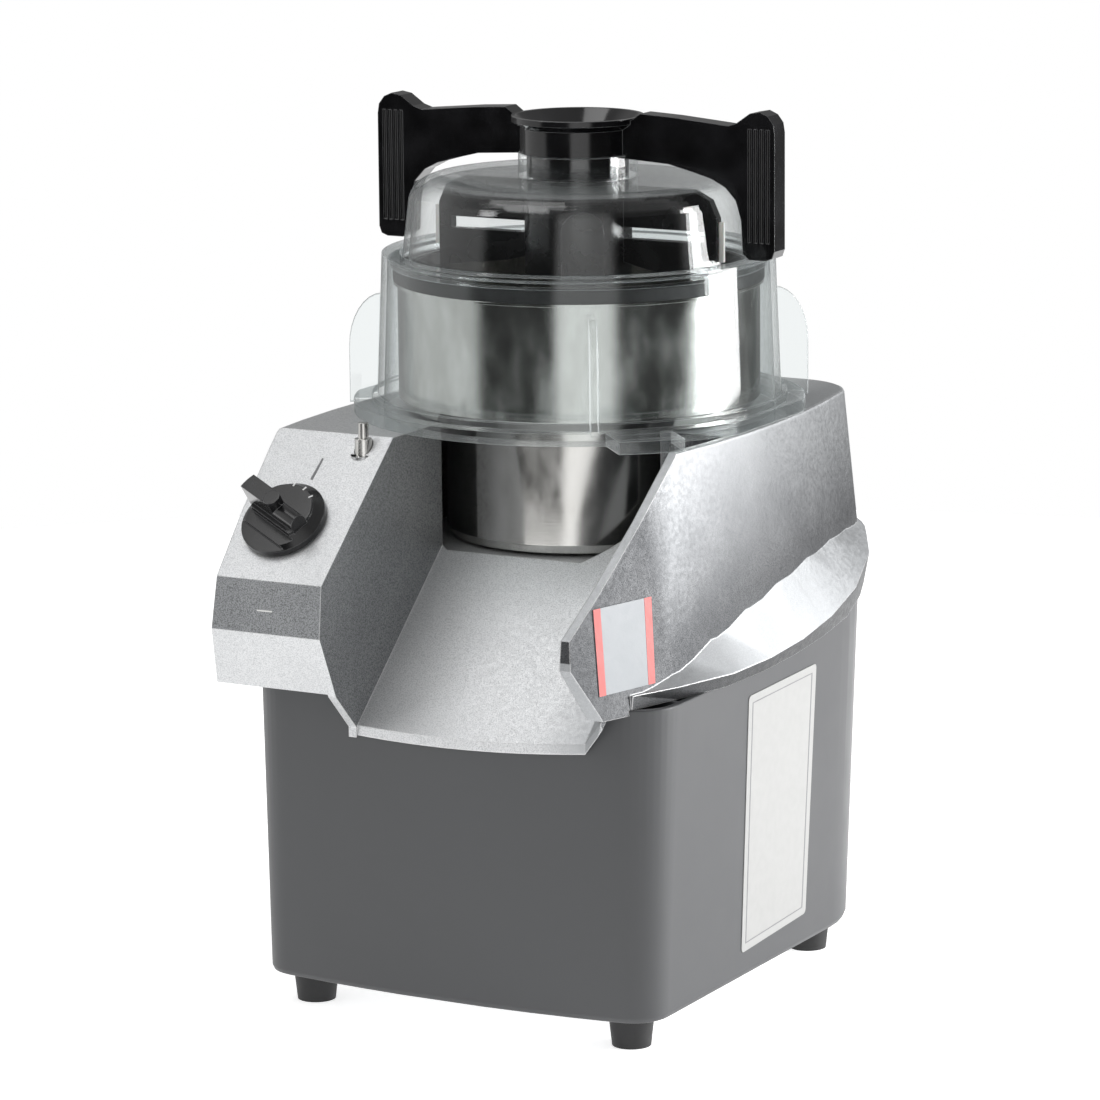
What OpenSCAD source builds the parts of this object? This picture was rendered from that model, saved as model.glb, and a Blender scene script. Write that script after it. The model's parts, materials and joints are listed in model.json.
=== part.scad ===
// Vertical cutter mixer: a bench machine with a sloping control console, a drop
// chute, a stepped steel bowl under a clear guard ring and dome, and a hand scraper.
// Millimetres, +Z up, the front faces -Y. The origin is under the middle of the
// whole machine, on the surface that it stands on.

/* [Feet] */
// Height of a rubber foot below the housing
foot_h = 18; // [12:1:26]
// Radius of a foot at the floor
foot_floor_r = 10; // [7:0.5:12]
// Radius of a foot under the housing
foot_top_r = 12; // [12:0.5:14]
// Distance between the left and the right feet
foot_pitch_x = 186; // [170:1:190]
// Distance between the front and the rear feet
foot_pitch_y = 204; // [190:1:212]
// Distance from the bowl axis forward to the front feet
foot_front = 122; // [116:1:126]

/* [Housing] */
// Half of the housing's width at its lower edge
housing_half_w = 117.5; // [112:0.5:122]
// Distance from the bowl axis to the middle of the housing's front
housing_left_w = 112; // [108:1:116]
// How far the front face stands ahead of the bowl axis
housing_front = 155; // [150:1:158]
// Distance from the bowl axis to the housing's back
housing_rear = 138; // [132:1:144]
// Height of the housing from its lower edge to the lowest point of the seam
housing_h = 162.5; // [150:0.5:175]
// Radius of the housing's front corners
housing_corner_r = 20; // [14:1:26]
// Radius of the housing's rear corners
housing_rear_r = 77; // [62:1:90]
// Radius of the housing's convex front
housing_face_r = 740; // [500:10:1200]
// Draft of the housing's walls, in degrees
housing_draft = 2; // [1:0.25:3]
// Wall of the housing
housing_wall = 3.5; // [2.5:0.5:5]
// Thickness of the steel base plate
base_plate_t = 2; // [1.5:0.5:3]

/* [Casting] */
// Height of the upper casting from the lowest point of the seam to the deck
casting_h = 120.5; // [110:0.5:130]
// Width of the casting at the deck to the right of the bowl axis
casting_right_w = 113; // [110:0.5:116]
// Width of the casting at the deck to the left of the bowl axis
casting_left_w = 115; // [112:0.5:118]
// Distance from the bowl axis to the casting's back at the deck
casting_rear = 134; // [130:1:138]
// Radius of the casting's rear corners at the deck
casting_rear_r = 36; // [28:1:44]
// Radius of the casting's barrel-shaped sides
casting_side_r = 600; // [500:10:800]
// Distance from the bowl axis forward to the widest place on the right
right_widest = 10; // [0:1:20]
// Distance from the bowl axis forward to the widest place on the left
left_widest = 50; // [40:1:60]
// Draft of the casting's walls, in degrees
casting_draft = 5.8; // [4:0.2:7]
// Wall of the casting
casting_wall = 4.5; // [3.5:0.5:6]
// Thickness of the deck
deck_t = 6; // [4:0.5:8]
// Radius of the seam's slow rise toward the back, in a side view
seam_r = 1600; // [1200:50:2400]
// Distance from the bowl axis forward to the seam's lowest point
seam_low = 120; // [100:1:130]

/* [Shoulder] */
// Half of the machine's width at the shoulder's rim
skirt_half_w = 137; // [132:0.5:142]
// Distance from the bowl axis to the rim's back
skirt_rear = 156; // [152:1:160]
// Radius of the rim's rear corners
skirt_rear_r = 106; // [98:1:112]
// How far the band tucks in from the rim to the seam
band_tuck = 5; // [3:0.5:7]
// Height of the shoulder's upright band at the front
band_front_h = 7.5; // [5:0.5:10]
// Height of the shoulder's upright band at the back
band_rear_h = 26; // [18:1:30]
// Highest point of the crease above the shoulder, measured down from the deck
crease_drop = 69; // [62:1:76]
// Radius of the crease's arc in a side view
crease_r = 450; // [380:10:600]

/* [Console] */
// Slope of the control panel, of the chute and of the side wall's edge, in degrees
slope_deg = 41; // [38:0.5:44]
// Distance from the bowl axis to the console's front
console_front = 193; // [188:1:198]
// Depth of the panel's lower edge below the deck
panel_drop = 63.5; // [58:0.5:68]
// Height of the upright band under the panel
console_band_h = 27; // [22:0.5:32]
// How far the band leans out at its lower edge
console_band_lean = 2.5; // [1:0.5:4]
// How far the console's underside runs back from the band
console_undercut = 15; // [10:0.5:20]
// Distance from the bowl axis to the chute's left wall
chute_left = 43; // [40:0.5:46]

/* [Chute] */
// Distance from the bowl axis to the chute's lip
lip_reach = 161; // [159:0.5:164]
// Depth of the lip below the deck
lip_drop = 142.5; // [138:0.5:146]
// Radius of the lip's convex edge
lip_arc_r = 800; // [500:50:2000]
// How far the right end of the lip lies from the bowl axis
lip_right = 86; // [80:1:88]
// Thickness of the chute's floor
chute_floor_t = 4; // [3:0.5:5]
// Where the side wall's sloping edge leaves the deck, ahead of the bowl axis
wall_edge_y = 96; // [92:1:100]
// Height of the side wall's edge that the slope stops at, above the lip
nose_rise = 63; // [58:1:68]
// Height of the short upright nose on the side wall
nose_h = 15; // [10:1:20]

/* [Well] */
// Radius of the well that the bowl hangs in
well_r = 83; // [80:0.5:86]
// Thickness of the well's floor
well_floor_t = 6; // [4:0.5:8]
// Radius of a pin that holds the bowl from turning
locating_pin_r = 3; // [2:0.5:4]
// Distance of the locating pins from the bowl axis
locating_pin_pitch_r = 46; // [40:1:54]
// How far a locating pin stands out of the well's floor
locating_pin_h = 3.4; // [2.6:0.2:3.8]

/* [Bowl] */
// Outer radius of the bowl's wide upper part
bowl_r = 94.5; // [90:0.5:95]
// Outer radius of the rolled rim
bowl_rim_r = 96.5; // [95.5:0.5:97.5]
// Outer radius of the bowl's narrow lower part
bowl_low_r = 70; // [64:0.5:73]
// Height of the bowl's lower part
bowl_low_h = 70; // [62:1:74]
// Height of the bowl's upper part
bowl_up_h = 65; // [60:1:72]
// How far the bowl's bottom lies below the deck
bowl_sink = 66; // [62:1:68]
// Sheet of the bowl
bowl_t = 1.5; // [1:0.25:2]
// Radius of the bowl's lower edge
bowl_edge_r = 6; // [4:0.5:9]
// Thickness of the disc welded into the bowl's bottom
bowl_disc_t = 5.5; // [5:0.5:7]
// Outer radius of the column inside the bowl
column_r = 17; // [15:0.5:19]
// Height of the column above the bowl's bottom
column_h = 64; // [56:1:70]

/* [Guard ring] */
// Outer radius of the guard ring at its top
guard_top_r = 102.5; // [101.5:0.5:104]
// Outer radius of the guard ring at its foot
guard_foot_r = 105.5; // [105:0.5:108]
// Wall of the guard ring
guard_t = 3; // [2.5:0.25:3.5]
// Outer radius of the guard ring's base plate
guard_plate_r = 118; // [115:0.5:120]
// Thickness of the base plate
guard_plate_t = 6.5; // [5:0.5:8]
// Outer radius of the corners that cover the deck
guard_ear_r = 143; // [136:1:146]
// Angle of the corners' middle, from the right side
guard_ear_deg = 43; // [38:1:48]
// Outer radius of the upright fins
fin_r = 120; // [114:1:124]
// Height of the fins above the base plate
fin_h = 62; // [50:1:68]
// Thickness of a fin
fin_t = 4; // [3:0.5:6]

/* [Lid] */
// Outer radius of the dome at its foot
dome_foot_r = 92; // [86:0.5:93]
// Outer radius of the dome at its shoulder
dome_shoulder_r = 88.5; // [80:0.5:89]
// Height of the dome above its flange
dome_h = 46; // [42:1:52]
// Radius of the dome's shoulder
dome_edge_r = 14; // [8:1:18]
// Wall of the dome
dome_t = 3; // [2.5:0.25:3.5]
// Outer radius of the dome's flange
dome_flange_r = 98; // [97.5:0.25:98.75]
// Thickness of the dome's flange
dome_flange_t = 3.5; // [2.5:0.25:4]
// Outer radius of the dome's neck
neck_r = 31; // [30:0.5:33]
// Height of the neck above the dome
neck_h = 12; // [9:0.5:14]
// Height of the gasket between the bowl's rim and the dome's flange
gasket_h = 7; // [5:0.5:9]
// Width of the gasket
gasket_w = 9; // [6:0.5:10]

/* [Scraper] */
// Outer radius of the feed tube's upper body
feed_tube_r = 30; // [29:0.5:32]
// Outer radius of the feed tube's rim
feed_rim_r = 34.5; // [32.5:0.5:37]
// Outer radius of the feed tube inside the neck
feed_neck_r = 26.5; // [25:0.5:27]
// Wall of the feed tube
feed_t = 3; // [2:0.25:3.5]
// Height of the feed tube's rim above the neck
feed_rise = 19.5; // [16:0.5:24]
// Reach of the handle on each side of the bowl axis
handle_reach = 116.5; // [112:0.5:120]
// Thickness of the handle
handle_t = 12; // [10:1:16]
// Width of a grip
grip_w = 18; // [14:0.5:22]
// Height of a grip
grip_h = 76; // [68:1:80]
// Grooves on each side of a grip
groove_count = 4; // [2:1:5]
// Thickness of the scraper's vanes
vane_t = 5; // [4:0.5:7]
// Gap between the vanes and the dome
vane_gap = 2; // [1.5:0.25:4]
// How far the scraper's legs reach down into the bowl
leg_drop = 52; // [30:1:56]

/* [Knife] */
// Outer radius of the knife hub
hub_r = 22; // [20:0.5:25]
// Height of the knife hub
hub_h = 76; // [70:1:84]
// Reach of the knife blades from the bowl axis
blade_reach = 64; // [54:0.5:66]
// Width of a blade at its root
blade_w = 20; // [14:0.5:24]
// Thickness of a blade
blade_t = 2; // [1.5:0.25:3]
// Height of the lower blade above the bowl's disc
blade_low = 3; // [2:0.5:6]
// Height between the lower and the upper blade
blade_pitch = 34; // [24:1:44]
// Radius of a tooth on the blade's edge
tooth_r = 1.6; // [1:0.1:2.2]
// Angle between two teeth along the edge, in degrees
tooth_step = 5; // [4:0.5:8]

/* [Motor] */
// Radius of the motor's stator
stator_r = 58; // [50:0.5:62]
// Length of the motor's stator
stator_h = 92; // [80:1:100]
// Radius of the motor's rotor
rotor_r = 31; // [26:0.5:34]
// Radius of the drive shaft in its bearings
shaft_r = 8.5; // [7.5:0.25:9]
// Outer radius of a bearing
bearing_r = 20; // [18:0.5:22]
// Width of a bearing
bearing_w = 12; // [9:0.5:14]
// Thickness of the motor's end shields
shield_t = 14; // [12.5:0.5:18]
// Blades of the cooling fan
fan_blades = 9; // [7:1:12]

/* [Controls] */
// Radius of the knob's skirt
knob_r = 22.5; // [18:0.5:26]
// Thickness of the knob's skirt
knob_skirt_h = 7; // [5:0.5:9]
// Height of the knob's grip above the panel
knob_h = 20; // [16:0.5:24]
// Distance from the bowl axis to the knob
knob_x = 80; // [76:1:86]
// Distance down the panel from the deck's edge to the knob
knob_down = 60; // [50:1:64]
// Radius of the switch spindle
spindle_r = 3; // [2.5:0.25:3.5]
// Distance from the bowl axis to the safety rod, sideways
rod_x = 57; // [54:1:62]
// Distance from the panel's top edge to the safety rod, forward
rod_ahead = 6; // [5:0.5:8]
// Radius of the safety rod
rod_r = 2.7; // [2.2:0.1:3]
// Radius of the safety rod's head
rod_head_r = 4.5; // [4:0.25:5]

/* [Hidden] */

// Clearances that every seat and running fit takes its size from
cut = 1;
seat_gap = 0.3;
run_gap = 0.3;
shaft_fit = 0.05;

// Levels
housing_z = foot_h;
seam_z = housing_z + housing_h;
deck_z = seam_z + casting_h;
lip_z = deck_z - lip_drop;
well_z = deck_z - bowl_sink - seat_gap;
bowl_z = deck_z - bowl_sink;
bowl_step_z = bowl_z + bowl_low_h;
bowl_rim_z = bowl_step_z + bowl_up_h;
gasket_z = bowl_rim_z + seat_gap;
flange_z = gasket_z + gasket_h;
flange_top_z = flange_z + dome_flange_t;
dome_top_z = flange_z + dome_h;
neck_z = dome_top_z + neck_h;
feed_top_z = neck_z + feed_rise;
plate_z = deck_z + seat_gap;
guard_top_z = flange_top_z + seat_gap + guard_t;

// Slopes and places that follow from them
slope = tan(slope_deg);
panel_top_y = -console_front + panel_drop / slope;
panel_low_z = deck_z - panel_drop;
console_low_z = panel_low_z - console_band_h;
nose_z = lip_z + nose_rise;
nose_y = -wall_edge_y - (deck_z - nose_z) / slope;
machine_front = console_front + console_band_lean;
axis_y = (machine_front - skirt_rear) / 2;
seam_overlap = 0;
seam_gap = 0.2;

// Counts of points on the lofted outlines
side_steps = 9;
corner_steps = 9;
round_fn = 96;
arc_fn = 720;
small_fn = 32;

// Drawn about the bowl axis, then moved to the machine's middle
module on_axis() {
  translate([0, axis_y, 0]) children();
}

// A prism whose outline lies in a side view, between two places along X
module side_prism(x_from, x_to, outline) {
  translate([x_from, 0, 0])
    rotate([90, 0, 90])
      linear_extrude(x_to - x_from)
        polygon(outline);
}

// A solid through a list of rings with the same number of points
module loft(rings, fan = false) {
  n = len(rings[0]);
  last = len(rings) - 1;
  walls = [
    for (k = [0:last - 1], i = [0:n - 1])
      let (a = k * n + i, b = k * n + (i + 1) % n)
        each [[a, a + n, b + n], [a, b + n, b]]
  ];
  low_cap = [for (i = [1:n - 2]) [0, i, i + 1]];
  high_cap = [for (i = [1:n - 2]) [last * n, last * n + i + 1, last * n + i]];
  flat_caps = [[for (i = [0:n - 1]) i], [for (i = [n - 1:-1:0]) last * n + i]];
  caps = fan ? concat(low_cap, high_cap) : flat_caps;
  polyhedron([for (ring = rings) each ring], concat(walls, caps), 4);
}

function arc_points(centre, r, from_deg, to_deg, steps) = [
  for (i = [0:steps])
    let (a = from_deg + (to_deg - from_deg) * i / steps)
      centre + r * [cos(a), sin(a)]
];
function mirrored(points) = [
  for (i = [len(points) - 1:-1:0]) [-points[i].x, points[i].y]
];
function at_height(points, z) = [for (p = points) [p.x, p.y, z]];
function clamp01(u) = min(1, max(0, u));
function smooth(u) = clamp01(u) * clamp01(u) * (3 - 2 * clamp01(u));

// Height of the seam at a place along Y
function seam_at(y) = seam_z + pow(y + seam_low, 2) / (2 * seam_r);

// The space above the seam's curve, raised by some amount
module above_seam(raise) {
  translate([-skirt_half_w * 2, -seam_low, seam_z + seam_r + raise])
    rotate([0, 90, 0])
      cylinder(r = seam_r, h = skirt_half_w * 4, $fn = arc_fn);
}

// The right side of a barrel-shaped plan: an arc along the side and a tangent arc
// round the rear corner, from the front to the middle of the back
function barrel_side(half_w, widest, rear, corner_r, grow) =
  let (
    centre = [half_w - casting_side_r, -widest],
    reach = casting_side_r - corner_r,
    corner_y = rear - corner_r,
    corner = [centre.x + sqrt(reach * reach - pow(corner_y - centre.y, 2)), corner_y],
    turn = asin((corner_y - centre.y) / reach),
    start = asin((-outline_front - centre.y) / casting_side_r)
  )
  concat(
    arc_points(centre, casting_side_r + grow, start, turn, side_steps),
    arc_points(corner, corner_r + grow, turn + (90 - turn) / corner_steps, 90, corner_steps - 1)
  );
function casting_outline(grow) = concat(
  barrel_side(casting_right_w, right_widest, casting_rear, casting_rear_r, grow),
  mirrored(barrel_side(casting_left_w, left_widest, casting_rear, casting_rear_r, grow))
);
function skirt_outline(grow) = concat(
  barrel_side(skirt_half_w, right_widest, skirt_rear, skirt_rear_r, grow),
  mirrored(barrel_side(skirt_half_w, right_widest, skirt_rear, skirt_rear_r, grow))
);
outline_front = machine_front + cut;
function draft_at(z) = tan(casting_draft) * (deck_z - z);
function casting_ring(inset, z) = at_height(casting_outline(draft_at(z) - inset), z);

// The drafted outline of the housing, grown by some amount
function housing_side(half_w, grow) =
  let (
    corner_x = half_w - housing_corner_r,
    spread = asin(corner_x / (housing_face_r - housing_corner_r)),
    face_centre = [0, housing_face_r - housing_front],
    corner = face_centre + (housing_face_r - housing_corner_r) * [sin(spread), -cos(spread)],
    rear_corner = [half_w - housing_rear_r, housing_rear - housing_rear_r]
  )
  concat(
    arc_points(face_centre, housing_face_r + grow, 270 + spread / 4, 270 + spread * 3 / 4, 2),
    arc_points(corner, housing_corner_r + grow, 270 + spread, 360, corner_steps),
    arc_points(rear_corner, housing_rear_r + grow, 0, 90, corner_steps + 3)
  );
function housing_ring(inset, z) =
  let (
    rise = z - housing_z,
    grow = tan(housing_draft) * rise - inset,
    left_w = housing_left_w - tan(housing_draft) * left_draft_share * rise
  )
    at_height(concat(housing_side(housing_half_w, grow), mirrored(housing_side(left_w, grow))), z);
left_draft_share = 0.7;

// Feet
foot_places = [
  [-foot_pitch_x / 2, -foot_front],
  [foot_pitch_x / 2, -foot_front],
  [-foot_pitch_x / 2, foot_pitch_y - foot_front],
  [foot_pitch_x / 2, foot_pitch_y - foot_front]
];
foot_recess_r = 6.5;
foot_recess_h = 8;
foot_screw_r = 2.5;
foot_screw_head_r = 5;
foot_screw_head_h = 3.5;
foot_boss_r = 8;
foot_boss_h = 26;

module foot(place) {
  color("#1b1b1c")
    on_axis()
      translate(place)
        difference() {
          cylinder(r1 = foot_floor_r, r2 = foot_top_r, h = foot_h, $fn = round_fn);
          translate([0, 0, -cut])
            cylinder(r = foot_recess_r, h = foot_recess_h + cut, $fn = small_fn);
          cylinder(r = foot_screw_r + shaft_fit, h = foot_h + cut, $fn = small_fn);
        }
}

module foot_front_left() {
  foot(foot_places[0]);
}

module foot_front_right() {
  foot(foot_places[1]);
}

module foot_rear_left() {
  foot(foot_places[2]);
}

module foot_rear_right() {
  foot(foot_places[3]);
}

module foot_screws() {
  screw_l = foot_h - foot_recess_h + base_plate_t + foot_boss_h / 2;
  color("#b9bcc0")
    on_axis()
      for (place = foot_places)
        translate(concat(place, foot_recess_h)) {
          cylinder(r = foot_screw_r, h = screw_l, $fn = small_fn);
          translate([0, 0, -foot_screw_head_h])
            cylinder(r = foot_screw_head_r, h = foot_screw_head_h, $fn = small_fn);
        }
}

// Housing
housing_inner_z = housing_z + base_plate_t;
housing_edge = 3;
gland_rise = 34;
gland_z = housing_z + gland_rise;
gland_x = 0;
gland_thread_r = 8;

// Inside the housing's outer walls up to the seam, grown
module housing_room(grow, raise) {
  difference() {
    loft([housing_ring(-grow, housing_z - cut), housing_ring(-grow, deck_z)]);
    above_seam(raise);
  }
}

module motor_housing() {
  color("#5d5e60")
    on_axis()
      difference() {
        loft([
          housing_ring(housing_edge, housing_z),
          housing_ring(housing_edge * 0.3, housing_z + housing_edge * 0.3),
          housing_ring(0, housing_z + housing_edge),
          housing_ring(0, deck_z)
        ]);
        difference() {
          loft([
            housing_ring(housing_wall, housing_z - cut),
            housing_ring(housing_wall, deck_z + cut)
          ]);
          for (place = foot_places)
            translate(concat(place, housing_inner_z)) {
              cylinder(r = foot_boss_r, h = deck_z, $fn = small_fn);
              translate([place.x > 0 ? 0 : -housing_half_w, -housing_wall / 2, 0])
                cube([housing_half_w, housing_wall, deck_z]);
            }
        }
        above_seam(seam_overlap);
        chute_relief(seat_gap);
        for (place = foot_places) {
          translate(concat(place, housing_z))
            cylinder(r = foot_screw_r + shaft_fit, h = foot_boss_h, $fn = small_fn);
          translate(concat(place, seam_z - foot_boss_h))
            cylinder(r = foot_screw_r + shaft_fit, h = casting_h, $fn = small_fn);
        }
        translate([gland_x, housing_rear / 2, gland_z])
          rotate([-90, 0, 0])
            cylinder(r = gland_thread_r + shaft_fit, h = skirt_rear, $fn = round_fn);
      }
}

module base_plate() {
  slot_w = 4;
  slot_l = 46;
  slot_pitch = 11;
  slots = 3;
  color("#a9abae")
    on_axis()
      difference() {
        loft([
          housing_ring(housing_wall + seat_gap, housing_z),
          housing_ring(housing_wall + seat_gap, housing_inner_z)
        ]);
        for (place = foot_places)
          translate(concat(place, housing_z - cut))
            cylinder(r = foot_screw_r + shaft_fit, h = base_plate_t + cut * 2, $fn = small_fn);
        for (side = [-1, 1], k = [-slots:slots])
          translate([side * slot_l - slot_l / 2, k * slot_pitch - slot_w / 2, housing_z - cut])
            cube([slot_l, slot_w, base_plate_t + cut * 2]);
      }
}

// Cord inlet at the back
gland_hex_r = 12;
gland_hex_h = 5;
gland_dome_r = 9.5;
gland_dome_h = 10;
gland_bore_r = 4.2;
gland_nut_t = 5;

function housing_back_at(z) = housing_rear + tan(housing_draft) * (z - housing_z);

module at_gland() {
  on_axis()
    translate([gland_x, housing_back_at(gland_z), gland_z])
      rotate([-90, 0, 0])
        children();
}

module cable_gland() {
  color("#232425")
    at_gland()
      difference() {
        union() {
          translate([0, 0, seat_gap])
            cylinder(r = gland_hex_r, h = gland_hex_h, $fn = 6);
          translate([0, 0, gland_hex_h])
            cylinder(r1 = gland_dome_r, r2 = gland_dome_r * 0.8, h = gland_dome_h, $fn = round_fn);
          translate([0, 0, -housing_wall - gland_nut_t - cut])
            cylinder(r = gland_thread_r, h = gland_hex_h + housing_wall + gland_nut_t, $fn = round_fn);
        }
        translate([0, 0, -housing_wall * 4])
          cylinder(r = gland_bore_r, h = housing_wall * 12, $fn = round_fn);
      }
}

module gland_nut() {
  color("#2a2b2c")
    at_gland()
      translate([0, 0, -housing_wall - gland_nut_t - seat_gap])
        difference() {
          cylinder(r = gland_hex_r, h = gland_nut_t, $fn = 6);
          translate([0, 0, -cut])
            cylinder(r = gland_thread_r + shaft_fit, h = gland_nut_t + cut * 2, $fn = round_fn);
        }
}

// Casting
function floor_at(y) = lip_z + slope * (y + lip_reach);
floor_drop = chute_floor_t / cos(slope_deg);
wall_foot_share = 0.42;
wall_foot_y = -lip_reach - (seam_z - lip_z) / slope * wall_foot_share;
boss_r = foot_boss_r;

// Side view of everything that the casting may fill
module casting_envelope() {
  side_prism(-skirt_half_w, skirt_half_w, [
    [skirt_rear, lip_z - chute_floor_t * 2],
    [skirt_rear, deck_z],
    [panel_top_y, deck_z],
    [-console_front, panel_low_z],
    [-console_front - console_band_lean, console_low_z],
    [-console_front - console_band_lean + console_undercut, seam_z - console_band_lean],
    [-lip_reach, lip_z],
    [-lip_reach, lip_z - chute_floor_t * 2]
  ]);
}

// Side view of the hollow under the deck and behind the panel
module casting_hollow() {
  t = casting_wall;
  side_prism(-skirt_half_w, skirt_half_w, [
    [skirt_rear, lip_z - chute_floor_t * 4],
    [skirt_rear, deck_z - deck_t],
    [panel_top_y + (t / cos(slope_deg) - deck_t) / slope, deck_z - deck_t],
    [-console_front + t, panel_low_z + t * slope - t / cos(slope_deg)],
    [-console_front - console_band_lean + t, console_low_z],
    [-console_front - console_band_lean + console_undercut + t, seam_z + t],
    [housing_wall * 2 - housing_front, seam_z + t],
    [housing_wall * 2 - housing_front, lip_z - chute_floor_t * 4]
  ]);
}

// Shoulder: a flared band round both sides and the back, swept along the casting
function band_growth(y) = pow(clamp01((y + seam_low + casting_side_r / 30) / (casting_side_r * 0.4)), 4);
function rim_at(y) = seam_at(y) + band_front_h + (band_rear_h - band_front_h) * band_growth(y);
function crease_at(y) = deck_z - crease_drop - pow(min(0, y - crease_y), 2) / (2 * crease_r);
crease_y = 70;
shoulder_front = 155;
shoulder_blend = 80;

flare_least = 0.1;
tuck_share = 0.4;
shoulder_root = casting_wall * 0.45;
band_least = casting_wall / 3;

// How far the shoulder's outline lies from a point of the wall
function skirt_reach(p, out) =
  let (rim = skirt_outline(0))
    max([
      for (i = [0:len(rim) - 1])
        let (edge = rim[(i + 1) % len(rim)] - rim[i], slant = cross(out, edge))
          if (slant != 0)
            let (share = cross(rim[i] - p, out) / slant)
              if (share >= 0 && share <= 1)
                cross(rim[i] - p, edge) / slant
    ]);

function mid(points, i) = (points[i] + points[i + 1]) / 2;
function shoulder_stations() =
  let (deck = casting_outline(0))
  [
    for (i = [0:len(deck) - 2])
      if (mid(deck, i).y > -shoulder_front)
        let (
          grown = draft_at(seam_at(mid(deck, i).y)),
          foot = mid(casting_outline(grown), i),
          root = mid(casting_outline(grown - shoulder_root), i),
          out = unit(foot - root),
          flare = flare_least + (1 - flare_least) * smooth((foot.y + shoulder_front) / shoulder_blend),
          reach = max(band_least, skirt_reach(foot, out)) * flare,
          rim = foot + out * reach,
          low = foot + out * max(reach - band_tuck, reach * tuck_share),
          crease_z = max(rim_at(rim.y), crease_at(mid(deck, i).y)),
          wall = mid(casting_outline(draft_at(crease_z) - shoulder_root), i)
        )
        [
          concat(wall, crease_z),
          concat(rim, rim_at(rim.y)),
          concat(low, seam_at(low.y)),
          concat(root, seam_at(root.y))
        ]
  ];
function unit(v) = v / norm(v);

module shoulder() {
  loft(shoulder_stations(), fan = true);
}

module casting_shell() {
  difference() {
    intersection() {
      loft([
        casting_ring(0, lip_z - chute_floor_t * 3),
        casting_ring(0, deck_z - casting_wall * 0.4),
        casting_ring(casting_wall * 0.1, deck_z - casting_wall * 0.12),
        casting_ring(casting_wall * 0.4, deck_z)
      ]);
      casting_envelope();
    }
    intersection() {
      inner_room();
      casting_hollow();
    }
  }
}

// The chute in section at a place along Y: a flat floor that turns up into a steep
// corner at the right wall
corner_rise = 1.7;
function trough(y, low, right) = let (z = floor_at(y) - low) [
  [lip_right, y, z],
  [right, y, z + corner_rise * (right - lip_right)]
];
function slab_ring(y, right) = concat(
  [[-chute_left - casting_wall, y, floor_at(y) - floor_drop]],
  [[-chute_left - casting_wall, y, floor_at(y)]],
  trough(y, 0, right),
  [trough(y, floor_drop, right)[1]],
  [trough(y, floor_drop, right)[0]]
);
function void_ring(y, low, left, right) = concat(
  [[left, y, floor_at(y) - low]],
  [[left, y, deck_z + cut]],
  [[right, y, deck_z + cut]],
  [trough(y, low, right)[1]],
  [trough(y, low, right)[0]]
);

// The right wall stands upright on its inner side below the nose
module inner_room() {
  loft([
    at_height(casting_outline(draft_at(nose_z) - casting_wall), lip_z - lip_drop),
    at_height(casting_outline(draft_at(nose_z) - casting_wall), nose_z),
    casting_ring(casting_wall, deck_z + cut)
  ]);
}

// The lip bows forward, and runs out to the foot of the right wall
function lip_outline() =
  let (lip_steps = 12, span = asin(lip_right / lip_arc_r), left = asin((chute_left + casting_wall) / lip_arc_r))
    concat(
      arc_points([0, lip_arc_r - lip_reach], lip_arc_r, 270 - left, 270 + span, lip_steps),
      [
        [casting_right_w - casting_wall * 2, wall_foot_y],
        [skirt_half_w, wall_foot_y],
        [skirt_half_w, 0],
        [-chute_left - casting_wall, 0]
      ]
    );

module chute_floor() {
  intersection() {
    loft([
      slab_ring(-lip_reach - console_undercut, casting_right_w),
      slab_ring(well_floor_t - bowl_low_r, casting_right_w)
    ]);
    translate([0, 0, lip_z - lip_drop])
      linear_extrude(lip_drop * 2)
        polygon(lip_outline());
    loft([
      casting_ring(casting_wall / 2, lip_z - chute_floor_t * 3),
      casting_ring(casting_wall / 2, deck_z)
    ]);
  }
}

module chute_left_wall() {
  intersection() {
    translate([-chute_left - casting_wall, -machine_front, lip_z - floor_drop])
      cube([casting_wall, machine_front - well_r * 0.8, lip_drop + floor_drop]);
    casting_envelope();
    side_prism(-skirt_half_w, skirt_half_w, [
      [-machine_front, deck_z],
      [-machine_front, floor_at(-machine_front) + console_undercut],
      [-lip_reach, lip_z - floor_drop],
      [0, floor_at(0) - floor_drop],
      [0, deck_z]
    ]);
  }
}

// Everything that is open above the chute's floor
module chute_void() {
  intersection() {
    loft([
      void_ring(-machine_front - cut, 0, -chute_left, skirt_half_w),
      void_ring(chute_back_y, 0, -chute_left, skirt_half_w)
    ]);
    inner_room();
  }
}
chute_back_y = -44;

// What is cut away in front of the right wall's sloping edge, nose and foot
module wall_edge_cut() {
  side_prism(-chute_left, skirt_half_w + cut, [
    [-wall_edge_y + cut / slope, deck_z + cut],
    [nose_y, nose_z],
    [nose_y - console_band_lean / 2, nose_z - nose_h],
    [wall_foot_y, seam_z],
    [-lip_reach, lip_z - floor_drop],
    [-lip_reach, lip_z - lip_drop],
    [-machine_front - cut, lip_z - lip_drop],
    [-machine_front - cut, deck_z + cut]
  ]);
}

module chute_relief(gap) {
  loft([
    void_ring(-machine_front, floor_drop + gap, -chute_left - casting_wall - gap, skirt_half_w),
    void_ring(0, floor_drop + gap, -chute_left - casting_wall - gap, skirt_half_w)
  ]);
}

// The bore register under the well that the motor hangs from
spigot_r = 56;
spigot_wall = 12;
spigot_h = 26;
spigot_z = well_z - well_floor_t - spigot_h;
seal_r = 14;
seal_h = 5;
pin_hole_h = well_floor_t;

module well_parts() {
  translate([0, 0, well_z - well_floor_t])
    cylinder(r = well_r + casting_wall, h = deck_z - well_z + well_floor_t, $fn = round_fn * 2);
  translate([0, 0, spigot_z])
    cylinder(r = spigot_r, h = spigot_h + cut, $fn = round_fn);
}

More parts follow.
